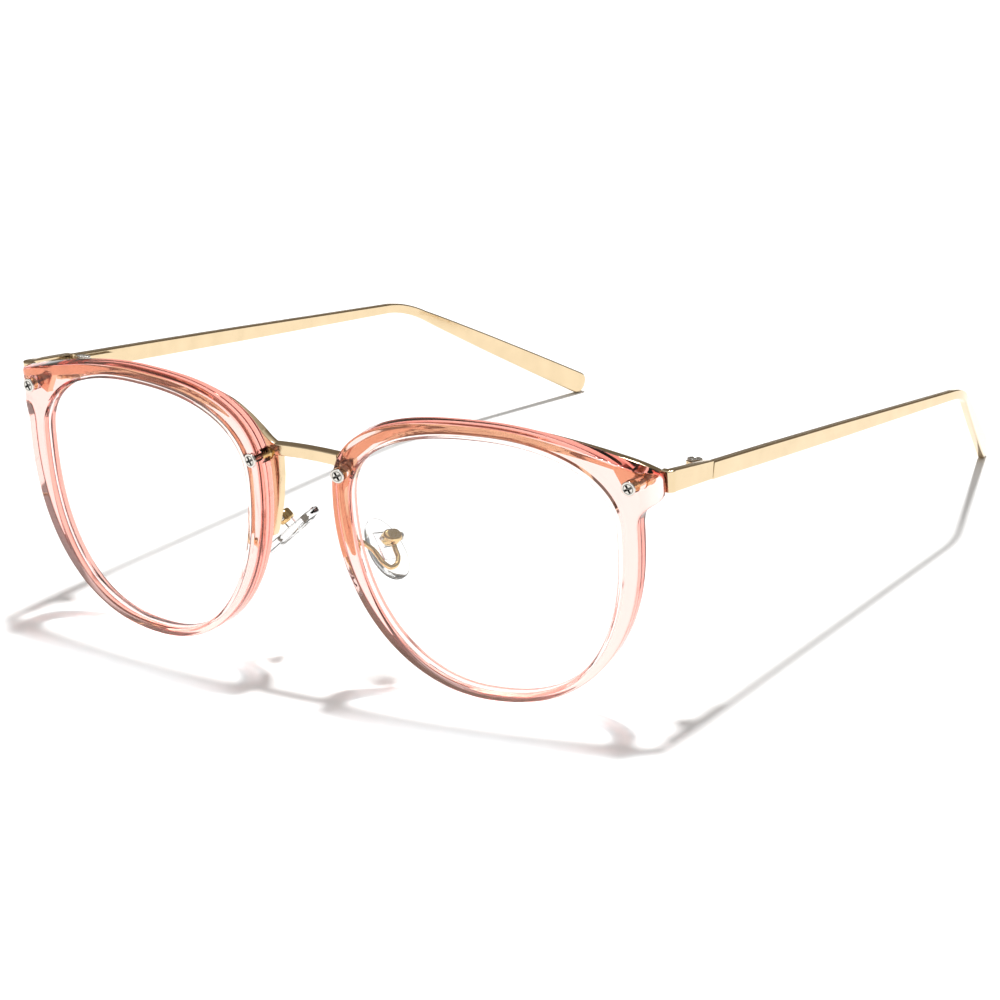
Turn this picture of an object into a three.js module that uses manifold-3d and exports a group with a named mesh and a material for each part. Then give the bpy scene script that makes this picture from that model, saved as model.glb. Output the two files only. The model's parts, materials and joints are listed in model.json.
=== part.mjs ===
import * as THREE from 'three';
import Module from 'manifold-3d';

const wasm = await Module();
wasm.setup();

// ---- driving dimensions (mm) -------------------------------------------------
const rad = Math.PI / 180;
const frontTilt = 3.55 * rad;      // top of the front leans forward when it stands on the table
const faceForm = 7.9 * rad;        // each rim turns back from the bridge by this much
const frontSetBack = -0.93;        // moves the front so its foremost edge is near y = 0
const lensCentreX = 35.84;         // along the rim plane, from the bridge centre

const openHalf = 24.8;             // lens opening, half width
const openTop = 14.2;              // opening above its widest line
const openBottom = 31.7;           // opening below its widest line
// squareness of each quarter: 2 is an ellipse, more is boxier
const openPower = { templeTop: 2.2, noseTop: 2.45, noseLow: 2.15, templeLow: 2.45 };
const outPower = { noseTop: 2.85, noseLow: 2.05, templeLow: 2.25 };
const rimDepth = 3.7;
const rimBevel = 0.45;
const outHalfNasal = 28.2;
const outHalfTemporal = 28.7;
const outTop = 16.8;
const outBottom = 33.3;

const lensThick = 1.3;
const lensMid = 1.75;              // lens middle plane behind the rim's front face
const lensLip = 0.65;              // how far the lens edge reaches into the groove
const grooveGap = 0.3;             // clear of the lens edge
const grooveSlack = 0.2;           // and of each lens face

const lugTop = 11.6;
const lugReach = 68.25;            // outermost point of the lug, along the rim plane
const lugDepth = 3.9;

const headR = 1.3;                 // rim screws
const headTall = 0.5;
const shaftR = 0.55;
const bossR = 1.15;
const fitGap = 0.3;
const bossFront = 1.9;
const screwSpots = [[63.4, 8.8], [9.18, 5.3]];   // outer and nasal, in the rim plane
const crossLong = 1.5;
const crossWide = 0.3;
const crossDeep = 0.34;
const crossTurn = 0.5;             // radians from upright

const bandFront = 4.0;             // gold chassis behind the rim
const bandThick = 1.1;
const bridgeLow = 5.4;
const bridgeHigh = 7.5;
const bridgeEnd = 4.9;             // half length, just clear of the two struts
const bridgeThick = 1.9;
const bridgeFront = bandFront + 0.7;
const bridgeRise = 0.4;            // arch of the top edge
const bridgeHollow = 0.5;          // and of the lower edge

const stripOut = 68.4;             // outer face of end pieces and temples
const stripThick = 1.6;
const endTall = 3.9;
const seamTall = 3.15;

const hingeX = 64.7;               // hinge axis, table frame
const hingeY = 25.3;
const hingeZ = 40.95;
const templeSlope = 8.1 * rad;     // temples run down toward the tips
const templeToe = 2.8 * rad;       // and toward each other
const knuckleR = 1.5;
const knuckleTall = 0.85;
const knuckleGap = 0.3;
const pinR = 0.6;
const runGap = 0.08;               // a pin that turns in its bore
const hingeHeadR = 1.3;
const hingeHeadTall = 0.5;
const stackDown = 0.4;             // the knuckles sit a little below the middle of the strip

const padLong = 12.5;
const padWide = 7.3;
const padSpot = [10.0, 12.6, 21.5];              // pad centre, table frame
const boxOut = 2.8;                // pad box, outward from the pad centre
const boxUp = 0.7;                 // and up along the pad
const wireR = 0.45;

// ---- solids ------------------------------------------------------------------
// vertices at one place become one, so that the skin is closed
function toSolid(geometry) {
  const pos = geometry.getAttribute('position');
  const index = geometry.index;
  const count = index ? index.count : pos.count;
  const seen = new Map();
  const verts = [];
  const tris = [];
  const id = (i) => {
    const p = [pos.getX(i), pos.getY(i), pos.getZ(i)];
    const key = p.map((v) => Math.round(v * 1e4)).join(',');
    if (!seen.has(key)) {
      seen.set(key, verts.length / 3);
      verts.push(...p);
    }
    return seen.get(key);
  };
  for (let i = 0; i < count; i += 3) {
    const t = [0, 1, 2].map((k) => id(index ? index.getX(i + k) : i + k));
    if (t[0] !== t[1] && t[1] !== t[2] && t[0] !== t[2]) tris.push(...t);
  }
  const mesh = new wasm.Mesh({
    numProp: 3,
    vertProperties: new Float32Array(verts),
    triVerts: new Uint32Array(tris),
  });
  return new wasm.Manifold(mesh);
}

function toGeometry(solid) {
  const mesh = solid.getMesh();
  const geometry = new THREE.BufferGeometry();
  const n = mesh.vertProperties.length / mesh.numProp;
  const pos = new Float32Array(n * 3);
  for (let i = 0; i < n; i++) {
    for (let k = 0; k < 3; k++) pos[3 * i + k] = mesh.vertProperties[mesh.numProp * i + k];
  }
  geometry.setAttribute('position', new THREE.BufferAttribute(pos, 3));
  geometry.setIndex(new THREE.BufferAttribute(new Uint32Array(mesh.triVerts), 1));
  return geometry;
}

// outward volume: flips the winding if a swept or mirrored skin came out inside out
function signedVolume(geometry) {
  const g = geometry.index ? geometry.toNonIndexed() : geometry;
  const p = g.getAttribute('position');
  const a = new THREE.Vector3();
  const b = new THREE.Vector3();
  const c = new THREE.Vector3();
  let sum = 0;
  for (let i = 0; i < p.count; i += 3) {
    a.fromBufferAttribute(p, i);
    b.fromBufferAttribute(p, i + 1);
    c.fromBufferAttribute(p, i + 2);
    sum += a.dot(b.cross(c)) / 6;
  }
  return sum;
}

function outward(geometry) {
  if (signedVolume(geometry) > 0) return geometry;
  const g = geometry.index ? geometry.toNonIndexed() : geometry;
  const p = g.getAttribute('position');
  for (let i = 0; i < p.count; i += 3) {
    const one = [p.getX(i + 1), p.getY(i + 1), p.getZ(i + 1)];
    p.setXYZ(i + 1, p.getX(i + 2), p.getY(i + 2), p.getZ(i + 2));
    p.setXYZ(i + 2, ...one);
  }
  return g;
}

const union = (...list) => toGeometry(list.map((g) => toSolid(outward(g))).reduce((a, b) => a.add(b)));

function carve(body, ...cutters) {
  let solid = toSolid(outward(body));
  for (const cutter of cutters) solid = solid.subtract(toSolid(outward(cutter)));
  return toGeometry(solid);
}

const common = (a, b) => toGeometry(toSolid(outward(a)).intersect(toSolid(outward(b))));

// the parts are drawn for the wearer's left (+X); the other side is their mirror image
function mirrored(geometry) {
  const g = (geometry.index ? geometry.toNonIndexed() : geometry.clone());
  g.deleteAttribute('normal');
  g.deleteAttribute('uv');
  g.applyMatrix4(new THREE.Matrix4().makeScale(-1, 1, 1));
  return outward(g);
}

// an outline drawn in (x, z), run back along +y from y = front
function plate(outline, front, thick, bevel = 0, segments = 10) {
  const shape = outline instanceof THREE.Shape ? outline : new THREE.Shape(outline);
  const geometry = new THREE.ExtrudeGeometry(shape, {
    depth: thick - 2 * bevel,
    curveSegments: segments,
    bevelEnabled: bevel > 0,
    bevelThickness: bevel,
    bevelSize: bevel,
    bevelOffset: -bevel,
    bevelSegments: 1,
  });
  geometry.rotateX(Math.PI / 2);
  geometry.translate(0, front + thick - bevel, 0);
  return geometry;
}

// an outline drawn in (x, y), run up along +z from z = low
function prism(outline, low, tall, bevel = 0) {
  const shape = outline instanceof THREE.Shape ? outline : new THREE.Shape(outline);
  const geometry = new THREE.ExtrudeGeometry(shape, {
    depth: tall - 2 * bevel,
    curveSegments: 8,
    bevelEnabled: bevel > 0,
    bevelThickness: bevel,
    bevelSize: bevel,
    bevelOffset: -bevel,
    bevelSegments: 1,
  });
  geometry.translate(0, 0, low + bevel);
  return geometry;
}

// round bar along +y between two depths
function roundY(x, z, radius, from, to, sides = 20) {
  const geometry = new THREE.CylinderGeometry(radius, radius, to - from, sides);
  geometry.translate(x, (from + to) / 2, z);
  return geometry;
}

function roundZ(x, y, radius, from, to, sides = 24) {
  const geometry = new THREE.CylinderGeometry(radius, radius, to - from, sides);
  geometry.rotateX(Math.PI / 2);
  geometry.translate(x, y, (from + to) / 2);
  return geometry;
}

const block = (w, d, h, x, y, z) => {
  const geometry = new THREE.BoxGeometry(w, d, h);
  geometry.translate(x, y, z);
  return geometry;
};

const points = (pairs) => pairs.map(([a, b]) => new THREE.Vector2(a, b));

// ---- rim outlines, in the rim plane ------------------------------------------
// one quarter of a superellipse round the lens centre, from angle a0 to a1
function quarter(half, tall, power, a0, a1, steps) {
  const pts = [];
  for (let i = 0; i < steps; i++) {
    const a = a0 + ((a1 - a0) * i) / steps;
    const c = Math.cos(a);
    const s = Math.sin(a);
    pts.push(new THREE.Vector2(
      lensCentreX + half * Math.sign(c) * Math.abs(c) ** (2 / power),
      tall * Math.sign(s) * Math.abs(s) ** (2 / power),
    ));
  }
  return pts;
}

const right = Math.PI / 2;

function openingOutline(grow = 0) {
  const half = openHalf + grow;
  return [
    ...quarter(half, openTop + grow, openPower.templeTop, 0, right, 14),
    ...quarter(half, openTop + grow, openPower.noseTop, right, 2 * right, 14),
    ...quarter(half, openBottom + grow, openPower.noseLow, 2 * right, 3 * right, 16),
    ...quarter(half, openBottom + grow, openPower.templeLow, 3 * right, 4 * right, 16),
  ];
}

// the brow runs in one gentle curve from the middle of the rim out to the lug
const browCurve = new THREE.CubicBezierCurve(
  new THREE.Vector2(lensCentreX, outTop),
  new THREE.Vector2(47, outTop),
  new THREE.Vector2(57.5, 13.7),
  new THREE.Vector2(65.4, lugTop),
);

function rimOutline() {
  return [
    ...browCurve.getPoints(14).reverse(),
    ...quarter(outHalfNasal, outTop, outPower.noseTop, right, 2 * right, 16).slice(1),
    ...quarter(outHalfNasal, outBottom, outPower.noseLow, 2 * right, 3 * right, 16),
    ...quarter(outHalfTemporal, outBottom, outPower.templeLow, 3 * right, 4 * right, 16),
    new THREE.Vector2(64.5, 0),
    new THREE.Vector2(64.6, 3.4),
    new THREE.Vector2(65.3, 5.6),
  ];
}

function rimGeometry() {
  const ring = plate(rimOutline(), 0, rimDepth, rimBevel);
  // the lug stands out sideways and slants back, with its underside cut up at an angle
  const lugFace = points([
    [58, 13.6], [61.6, 12.75], [65.4, 11.55], [67.4, 10.85], [lugReach, 10.3],
    [lugReach, 6.6], [67.6, 5.7], [66.2, 5.0], [65.2, 4.3], [64.5, 3.2], [61.5, 1.5], [60.6, 8],
  ]);
  const lugPlan = points([
    [58, 0.1], [64.6, 0.1], [65.3, 0.5], [lugReach, lugDepth - 0.6], [lugReach, lugDepth],
    [66.2, lugDepth], [65.2, rimDepth], [58, rimDepth],
  ]);
  const lug = common(plate(lugFace, -1, 8), prism(lugPlan, -5, 25));
  const cuts = [
    plate(openingOutline(), -1, rimDepth + 2),
    plate(openingOutline(lensLip + grooveGap), lensMid - lensThick / 2 - grooveSlack,
      lensThick + 2 * grooveSlack),
  ];
  for (const [x, z] of screwSpots) {
    cuts.push(roundY(x, z, shaftR + fitGap, -1, rimDepth + 1));
    cuts.push(roundY(x, z, bossR + fitGap, bossFront - fitGap, lugDepth + 1));
  }
  return carve(union(ring, lug), ...cuts);
}

const lensGeometry = () => plate(openingOutline(lensLip), lensMid - lensThick / 2, lensThick, 0.3);

// ---- gold chassis behind a rim -----------------------------------------------
function browBarGeometry() {
  const shape = new THREE.Shape();
  // top edge, from the outer end over the brow and down beside the nose
  shape.moveTo(67.6, 10.55);
  shape.splineThru(points([[64.9, 11.4], [61.5, 12.3], [53.3, 13.95], [44, 15.3], [35.5, 15.75],
    [27, 15.4], [18.6, 13.9], [14.2, 12.1], [10.8, 10.1], [8.1, 8.3], [6.4, 7.55]]));
  shape.lineTo(6.1, 5.2);
  // strut beside the nose, with a rounded foot
  shape.splineThru(points([[6.4, 1.5], [7.3, -4], [8.9, -9.2], [9.6, -10.3], [10.2, -9.6], [9.2, -4],
    [8.8, 1], [10, 3.4], [11, 5.3], [11.1, 7.4]]));
  // lower edge back under the brow
  shape.splineThru(points([[15, 10.7], [19.5, 12.2], [27.5, 13.7], [35.5, 14], [44, 13.5], [53, 12.1],
    [59.5, 10.7]]));
  shape.lineTo(61.4, 7.1);
  shape.lineTo(67.6, 7.1);
  const bar = plate(shape, bandFront, bandThick, 0.2, 3);
  const bores = [];
  for (const [x, z] of screwSpots) {
    bores.push(roundY(x, z, bossR, bandFront - 0.5, bandFront + bandThick + 0.5));
  }
  return carve(bar, ...bores);
}

// threaded boss: a collar that fills the hole in the plate and reaches forward into the rim
function bossGeometry(x, z) {
  const profile = [
    [shaftR + fitGap, bossFront],
    [bossR - 0.02, bossFront],
    [bossR - 0.02, bandFront + bandThick],
    [shaftR + fitGap, bandFront + bandThick],
    [shaftR + fitGap, bossFront],
  ].map(([r, y]) => new THREE.Vector2(r, y));
  const geometry = new THREE.LatheGeometry(profile, 20);
  geometry.translate(x, 0, z);
  return geometry;
}

// pan-head screw with a cross recess
function rimScrewGeometry(x, z) {
  const tip = bandFront + bandThick - 0.5;
  const profile = [
    [0, -headTall], [0.62, -headTall], [1.02, -0.4], [headR, -0.12], [headR, -0.02],
    [shaftR, -0.02], [shaftR, tip - 0.25], [0.35, tip], [0, tip],
  ].map(([r, y]) => new THREE.Vector2(r, y));
  const body = new THREE.LatheGeometry(profile, 24);
  const slotA = block(crossLong, crossDeep, crossWide, 0, -headTall, 0);
  const slotB = block(crossWide, crossDeep, crossLong, 0, -headTall, 0);
  const screw = carve(body, slotA, slotB);
  screw.rotateY(crossTurn);
  screw.translate(x, 0, z);
  return screw;
}

function bridgeGeometry() {
  // runs between the two struts a hair clear of both, a little arched
  const shape = new THREE.Shape();
  shape.moveTo(-bridgeEnd, bridgeHigh);
  shape.quadraticCurveTo(0, bridgeHigh + bridgeRise, bridgeEnd, bridgeHigh);
  shape.lineTo(bridgeEnd, bridgeLow);
  shape.quadraticCurveTo(0, bridgeLow + bridgeHollow, -bridgeEnd, bridgeLow);
  return plate(shape, bridgeFront, bridgeThick, 0.25);
}

// ---- end piece: behind the lug, round the corner and back to the seam ----------
const cornerY = 14.8;              // front frame: where the front leg ends and the side arm begins
const armSlope = Math.tan(templeSlope + frontTilt);
const seamY = 26.55;
const cornerZ = 8.9;               // middle of the strip at the corner
const seamLift = 0.15;             // and how far it has risen off a straight line by the seam
const cornerRound = 1.3;
const frontLeg = 1.35;             // thickness of the leg behind the lug

function endPieceGeometry() {
  const inner = stripOut - stripThick;
  const front = cornerY - frontLeg;
  const shape = new THREE.Shape();
  shape.moveTo(inner - 0.2, front);
  shape.lineTo(stripOut - cornerRound, front);
  shape.absarc(stripOut - cornerRound, front + cornerRound, cornerRound, -right, 0, false);
  const pts = shape.getPoints(6);
  const outline = [...pts];
  const rows = 4;
  for (let i = 1; i <= rows; i++) {
    const y = THREE.MathUtils.lerp(front + cornerRound, seamY, i / rows);
    outline.push(new THREE.Vector2(stripOut, y));
  }
  for (let i = rows; i >= 0; i--) {
    outline.push(new THREE.Vector2(inner, cornerY + ((seamY - cornerY) * i) / rows));
  }
  outline.push(new THREE.Vector2(inner - 0.2, cornerY));
  const geometry = prism(outline, -endTall / 2, endTall, 0.25);
  const pos = geometry.getAttribute('position');
  for (let i = 0; i < pos.count; i++) {
    const y = pos.getY(i);
    const t = THREE.MathUtils.clamp((y - cornerY) / (seamY - cornerY), 0, 1);
    const z = pos.getZ(i) * THREE.MathUtils.lerp(1, seamTall / endTall, t);
    pos.setY(i, y + z * armSlope * t);
    pos.setZ(i, z - Math.max(0, y - cornerY) * armSlope + cornerZ + seamLift * t);
  }
  geometry.computeVertexNormals();
  return geometry;
}

// ---- hinge, drawn about its own axis: x out, y back along the temple, z up the axis ----
const stackTall = 3 * knuckleTall + 2 * knuckleGap;
const inFace = stripOut - stripThick - hingeX;   // temple's inner face, from the axis

const stackLow = -stackDown - stackTall / 2;
const leafIn = inFace - 0.05;                    // leaves lie against the strip's inner face
const leafThick = 0.8;
const leafRise = -0.1;             // middle of both leaves, up the axis
const frontLeaf = { long: 6.4, tall: 2.6, at: -5.1, tongueAt: -1.75 };
const templeLeaf = { long: 7.5, tall: 2.3, at: 6.2, tongueAt: 1.7 };

const leafPlate = (leaf) =>
  block(leafThick, leaf.long, leaf.tall, leafIn - leafThick / 2, leaf.at, leafRise);

// tongue from the leaf to a knuckle, and the knuckle itself
const tongueFrom = 0.9;            // clear of the bore
const tongueLong = 2.4;

function knuckle(low, tongueAt) {
  return [
    block(leafIn - tongueFrom, tongueLong, knuckleTall, (leafIn + tongueFrom) / 2, tongueAt,
      low + knuckleTall / 2),
    roundZ(0, 0, knuckleR, low, low + knuckleTall),
  ];
}

const pinBore = () => roundZ(0, 0, pinR + runGap, stackLow - 1, stackLow + stackTall + 1);

function hingeFrontGeometry() {
  // two knuckles tied by a leaf on the inner face of the end piece
  const pitch = 2 * (knuckleTall + knuckleGap);
  const lower = knuckle(stackLow, frontLeaf.tongueAt);
  const upper = knuckle(stackLow + pitch, frontLeaf.tongueAt);
  return carve(union(leafPlate(frontLeaf), ...lower, ...upper), pinBore());
}

function hingeTempleGeometry() {
  // one knuckle between the other two, on a leaf fixed to the temple's inner face
  const middle = knuckle(-stackDown - knuckleTall / 2, templeLeaf.tongueAt);
  return carve(union(leafPlate(templeLeaf), ...middle), pinBore());
}

function hingeScrewGeometry() {
  const top = stackLow + stackTall + 0.05;
  const foot = stackLow + 0.15;
  const crown = top + hingeHeadTall;
  const profile = points([
    [0, foot], [0.4, foot], [pinR, foot + 0.2], [pinR, top], [hingeHeadR, top],
    [hingeHeadR, crown - 0.2], [hingeHeadR - 0.25, crown], [0, crown],
  ]);
  const body = new THREE.LatheGeometry(profile, 24);
  body.rotateX(right);
  const slotWide = 0.4;
  return carve(body, block(3 * hingeHeadR, slotWide, slotWide, 0, 0, crown));
}

// ---- temple ------------------------------------------------------------------
// a flat bar swept along its own line: straight to the bend, then down and inward to the tip
const seamGap = 0.3;
const bendAt = 96.5;               // where the bend begins, from the hinge axis
const bendLong = 11;
const tipLong = 45.6;
const tipDrop = 22.22 * rad;        // below the line of the straight part
const tipTurn = 17.6 * rad;        // and inward
const neckTall = 1.85;             // at the bend
const backThick = 1.4;             // from the bend to the tip
const tipTall = 4.3;
const tipRound = 2.2;              // length of the round end
const sectionChamfer = 0.3;
// distance behind the axis, height and thickness of the straight part
const templeSizes = [
  [seamGap, seamTall, stripThick], [20, 3.1, stripThick], [50, 2.75, 1.5], [75, 2.25, 1.45],
  [bendAt, neckTall, backThick],
];

function templeGeometry() {
  const stations = [];
  const add = (s, tall, thick, drop, turn) => stations.push({ s, tall, thick, drop, turn });
  templeSizes.forEach(([s, tall, thick]) => add(s, tall, thick, 0, 0));
  const bends = 7;
  for (let i = 1; i <= bends; i++) {
    const t = i / bends;
    add(bendAt + bendLong * t, neckTall, backThick, tipDrop * t, tipTurn * t);
  }
  // spatula: widens along the tip and closes with a round end
  const widen = 6;
  for (let i = 1; i <= widen; i++) {
    const t = i / widen;
    const tall = neckTall + (tipTall - neckTall) * t ** 0.9;
    add(bendAt + bendLong + (tipLong - tipRound) * t, tall, backThick, tipDrop, tipTurn);
  }
  for (let i = 1; i <= 4; i++) {
    const a = (i / 4) * 1.35;
    const s = bendAt + bendLong + tipLong - tipRound * (1 - Math.sin(a));
    add(s, tipTall * Math.cos(a) ** 0.75, backThick - 0.12 * i, tipDrop, tipTurn);
  }
  const outX = stripOut - hingeX;
  let p = new THREE.Vector3(outX, stations[0].s, 0);
  const rings = [];
  stations.forEach((st, i) => {
    const dir = new THREE.Vector3(-Math.sin(st.turn) * Math.cos(st.drop), Math.cos(st.turn) * Math.cos(st.drop),
      -Math.sin(st.drop));
    if (i > 0) {
      const before = stations[i - 1];
      const mid = new THREE.Vector3(
        -Math.sin((st.turn + before.turn) / 2) * Math.cos((st.drop + before.drop) / 2),
        Math.cos((st.turn + before.turn) / 2) * Math.cos((st.drop + before.drop) / 2),
        -Math.sin((st.drop + before.drop) / 2),
      );
      p = p.clone().addScaledVector(mid, st.s - before.s);
    }
    const out = new THREE.Vector3(Math.cos(st.turn), Math.sin(st.turn), 0);
    const up = new THREE.Vector3().crossVectors(out, dir).normalize();
    const c = sectionChamfer;
    const h = st.tall / 2;
    const corners = [
      [0, -h + c], [0, h - c], [-c, h], [-st.thick + c, h],
      [-st.thick, h - c], [-st.thick, -h + c], [-st.thick + c, -h], [-c, -h],
    ];
    rings.push(corners.map(([x, z]) => p.clone().addScaledVector(out, x).addScaledVector(up, z)));
  });
  const verts = [];
  rings.forEach((ring) => ring.forEach((v) => verts.push(v.x, v.y, v.z)));
  const index = [];
  const n = 8;
  for (let i = 0; i + 1 < rings.length; i++) {
    for (let k = 0; k < n; k++) {
      const a = i * n + k;
      const b = i * n + ((k + 1) % n);
      index.push(a, b, a + n, b, b + n, a + n);
    }
  }
  for (let k = 1; k + 1 < n; k++) {
    index.push(0, k + 1, k);
    const e = (rings.length - 1) * n;
    index.push(e, e + k, e + k + 1);
  }
  const geometry = new THREE.BufferGeometry();
  geometry.setAttribute('position', new THREE.Float32BufferAttribute(verts, 3));
  geometry.setIndex(index);
  return outward(geometry);
}

// ---- nose support, wearer's left ----------------------------------------------
// pad axes: along the pad, across it, and toward the nose
const padUp = new THREE.Vector3(-0.669, 0.331, 0.666).normalize();
const padNose = new THREE.Vector3(-0.66, 0.149, -0.737).normalize();
padNose.addScaledVector(padUp, -padNose.dot(padUp)).normalize();
const padAcross = new THREE.Vector3().crossVectors(padNose, padUp).normalize();
const padFrame = new THREE.Matrix4().makeBasis(padAcross, padNose, padUp)
  .setPosition(new THREE.Vector3(...padSpot));

// oval plan, a little fuller at the bottom
function padOval(grow) {
  const pts = [];
  const steps = 28;
  for (let i = 0; i < steps; i++) {
    const a = (i / steps) * 2 * Math.PI;
    const wide = (padWide / 2 + grow) * (1 - 0.09 * Math.sin(a));
    pts.push(new THREE.Vector2(Math.sign(Math.cos(a)) * wide * Math.abs(Math.cos(a)) ** 0.92,
      (padLong / 2 + grow) * Math.sin(a)));
  }
  return pts;
}

const coreWide = 3.2;
const coreThick = 0.6;
const coreLong = 5.6;
const coreIn = -0.3;               // middle of the core, just behind the middle of the pad
const coreDown = 0.3;              // core's centre below the stem
const stemWide = 1.5;              // across
const stemTall = 1.5;              // along
const pocketGap = 0.1;
const padScrewR = 0.35;
const stemLong = 3;
const stemIn = -1.9;               // middle of the stem
const boxHalfWide = 1.8;
const boxHalfTall = 1.3;
const boxRound = 0.6;
const boxDeep = 2.2;
const boxMouth = 0.6;              // room round the stem

// depth toward the nose and growth of the oval there: flat at the back, rounded over in front
const padLayers = [
  [-0.95, -0.8], [-0.75, -0.2], [-0.3, 0], [0.2, -0.1], [0.6, -0.7], [0.85, -1.6], [0.95, -2.6],
];

function padGeometry() {
  const verts = [];
  const index = [];
  const rings = padLayers.map(([y, grow]) => padOval(grow).map((v) => [v.x, y, v.y]));
  const n = rings[0].length;
  rings.forEach((ring) => ring.forEach((v) => verts.push(...v)));
  for (let i = 0; i + 1 < rings.length; i++) {
    for (let k = 0; k < n; k++) {
      const a = i * n + k;
      const b = i * n + ((k + 1) % n);
      index.push(a, a + n, b, b, a + n, b + n);
    }
  }
  const low = verts.length / 3;
  verts.push(0, padLayers[0][0], 0, 0, padLayers[padLayers.length - 1][0], 0);
  const e = (rings.length - 1) * n;
  for (let k = 0; k < n; k++) {
    index.push(low, k, (k + 1) % n);
    index.push(low + 1, e + ((k + 1) % n), e + k);
  }
  const geometry = new THREE.BufferGeometry();
  geometry.setAttribute('position', new THREE.Float32BufferAttribute(verts, 3));
  geometry.setIndex(index);
  const pocket = block(coreWide + 2 * pocketGap, coreThick + 2 * pocketGap, coreLong + 2 * pocketGap,
    0, coreIn, boxUp - coreDown);
  const neck = block(stemWide + 2 * pocketGap, 2, stemTall + 2 * pocketGap, 0, -1.2, boxUp);
  return carve(geometry, pocket, neck);
}

// bore of the pad screw, across the pad
function padBore() {
  const bore = new THREE.CylinderGeometry(padScrewR + runGap, padScrewR + runGap, 6, 16);
  bore.rotateZ(right);
  bore.translate(0, -boxOut, boxUp);
  return bore;
}

function coreGeometry() {
  const core = block(coreWide, coreThick, coreLong, 0, coreIn, boxUp - coreDown);
  const stem = block(stemWide, stemLong, stemTall, 0, stemIn, boxUp);
  return carve(union(core, stem), padBore());
}

function boxGeometry() {
  const shape = new THREE.Shape();
  const w = boxHalfWide - boxRound;
  const h = boxHalfTall - boxRound;
  shape.absarc(w, h, boxRound, 0, right, false);
  shape.absarc(-w, h, boxRound, right, 2 * right, false);
  shape.absarc(-w, -h, boxRound, 2 * right, 3 * right, false);
  shape.absarc(w, -h, boxRound, 3 * right, 4 * right, false);
  const body = plate(shape, -boxOut - 1.15, boxDeep, 0.35, 5);
  body.translate(0, 0, boxUp);
  const mouth = block(stemWide + boxMouth, 2.6, stemTall + boxMouth, 0, -boxOut + 0.55, boxUp);
  return carve(body, mouth, padBore());
}

function padScrewGeometry() {
  const profile = points([
    [0, -2.3], [padScrewR, -2.3], [padScrewR, 1.9], [0.75, 1.9], [0.75, 2.2], [0.5, 2.45], [0, 2.45],
  ]);
  const geometry = new THREE.LatheGeometry(profile, 16);
  geometry.rotateZ(-right);
  geometry.translate(0, -boxOut, boxUp);
  return geometry;
}

// gold wire: from the strut's foot back, down, round and up into the box
function armGeometry() {
  // across, nose and up coordinates in the pad's axes: the loop lies in a plane beside the pad
  const path = new THREE.CatmullRomCurve3([
    [-6.6, -2.75, 0.9],
    [-5.5, -2.6, -0.1],
    [-4.5, -2.45, -1.2],
    [-4, -2.4, -2.6],
    [-3.6, -2.4, -4],
    [-2.55, -2.35, -4.95],
    [-1.1, -2.35, -4.5],
    [-0.2, -2.45, -3.2],
    [-0.1, -2.55, -1.8],
    [-0.1, -2.75, -0.8],
  ].map((p) => new THREE.Vector3(...p).applyMatrix4(padFrame)));
  const shape = new THREE.Shape();
  shape.absarc(0, 0, wireR, 0, 2 * Math.PI, false);
  return new THREE.ExtrudeGeometry(shape, {
    steps: 40,
    curveSegments: 3,
    bevelEnabled: false,
    extrudePath: path,
  });
}

// ---- finishes ------------------------------------------------------------------
const finish = (color, roughness, metalness, extra = {}) => () =>
  new THREE.MeshStandardMaterial({ color, roughness, metalness, ...extra });
const pinkPlastic = finish(0xf6c9bf, 0.12, 0, { transparent: true, opacity: 0.6 });
const clearLens = finish(0xf4f8fa, 0.04, 0, { transparent: true, opacity: 0.18 });
const gold = finish(0xe6c58a, 0.25, 1);
const steel = finish(0xd8d6d0, 0.3, 1);
const silicone = finish(0xeef0ee, 0.3, 0, { transparent: true, opacity: 0.5 });
const hardClear = finish(0xdfe2e2, 0.15, 0, { transparent: true, opacity: 0.6 });

// ---- assembly ------------------------------------------------------------------
const root = new THREE.Group();
root.name = 'glasses';
const assembly = new THREE.Group();
assembly.name = 'assembly';
root.add(assembly);
const front = new THREE.Group();
front.name = 'front';
front.rotation.x = frontTilt;
assembly.add(front);

function place(parent, name, geometry, material) {
  const mesh = new THREE.Mesh(geometry, material());
  mesh.name = name;
  parent.add(mesh);
  return mesh;
}

const shapes = {
  rim: rimGeometry(),
  lens: lensGeometry(),
  brow: browBarGeometry(),
  end: endPieceGeometry(),
  hingeFront: hingeFrontGeometry(),
  hingeTemple: hingeTempleGeometry(),
  hingeScrew: hingeScrewGeometry(),
  temple: templeGeometry(),
  pad: padGeometry(),
  core: coreGeometry(),
  box: boxGeometry(),
  padScrew: padScrewGeometry(),
  arm: armGeometry(),
};

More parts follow.
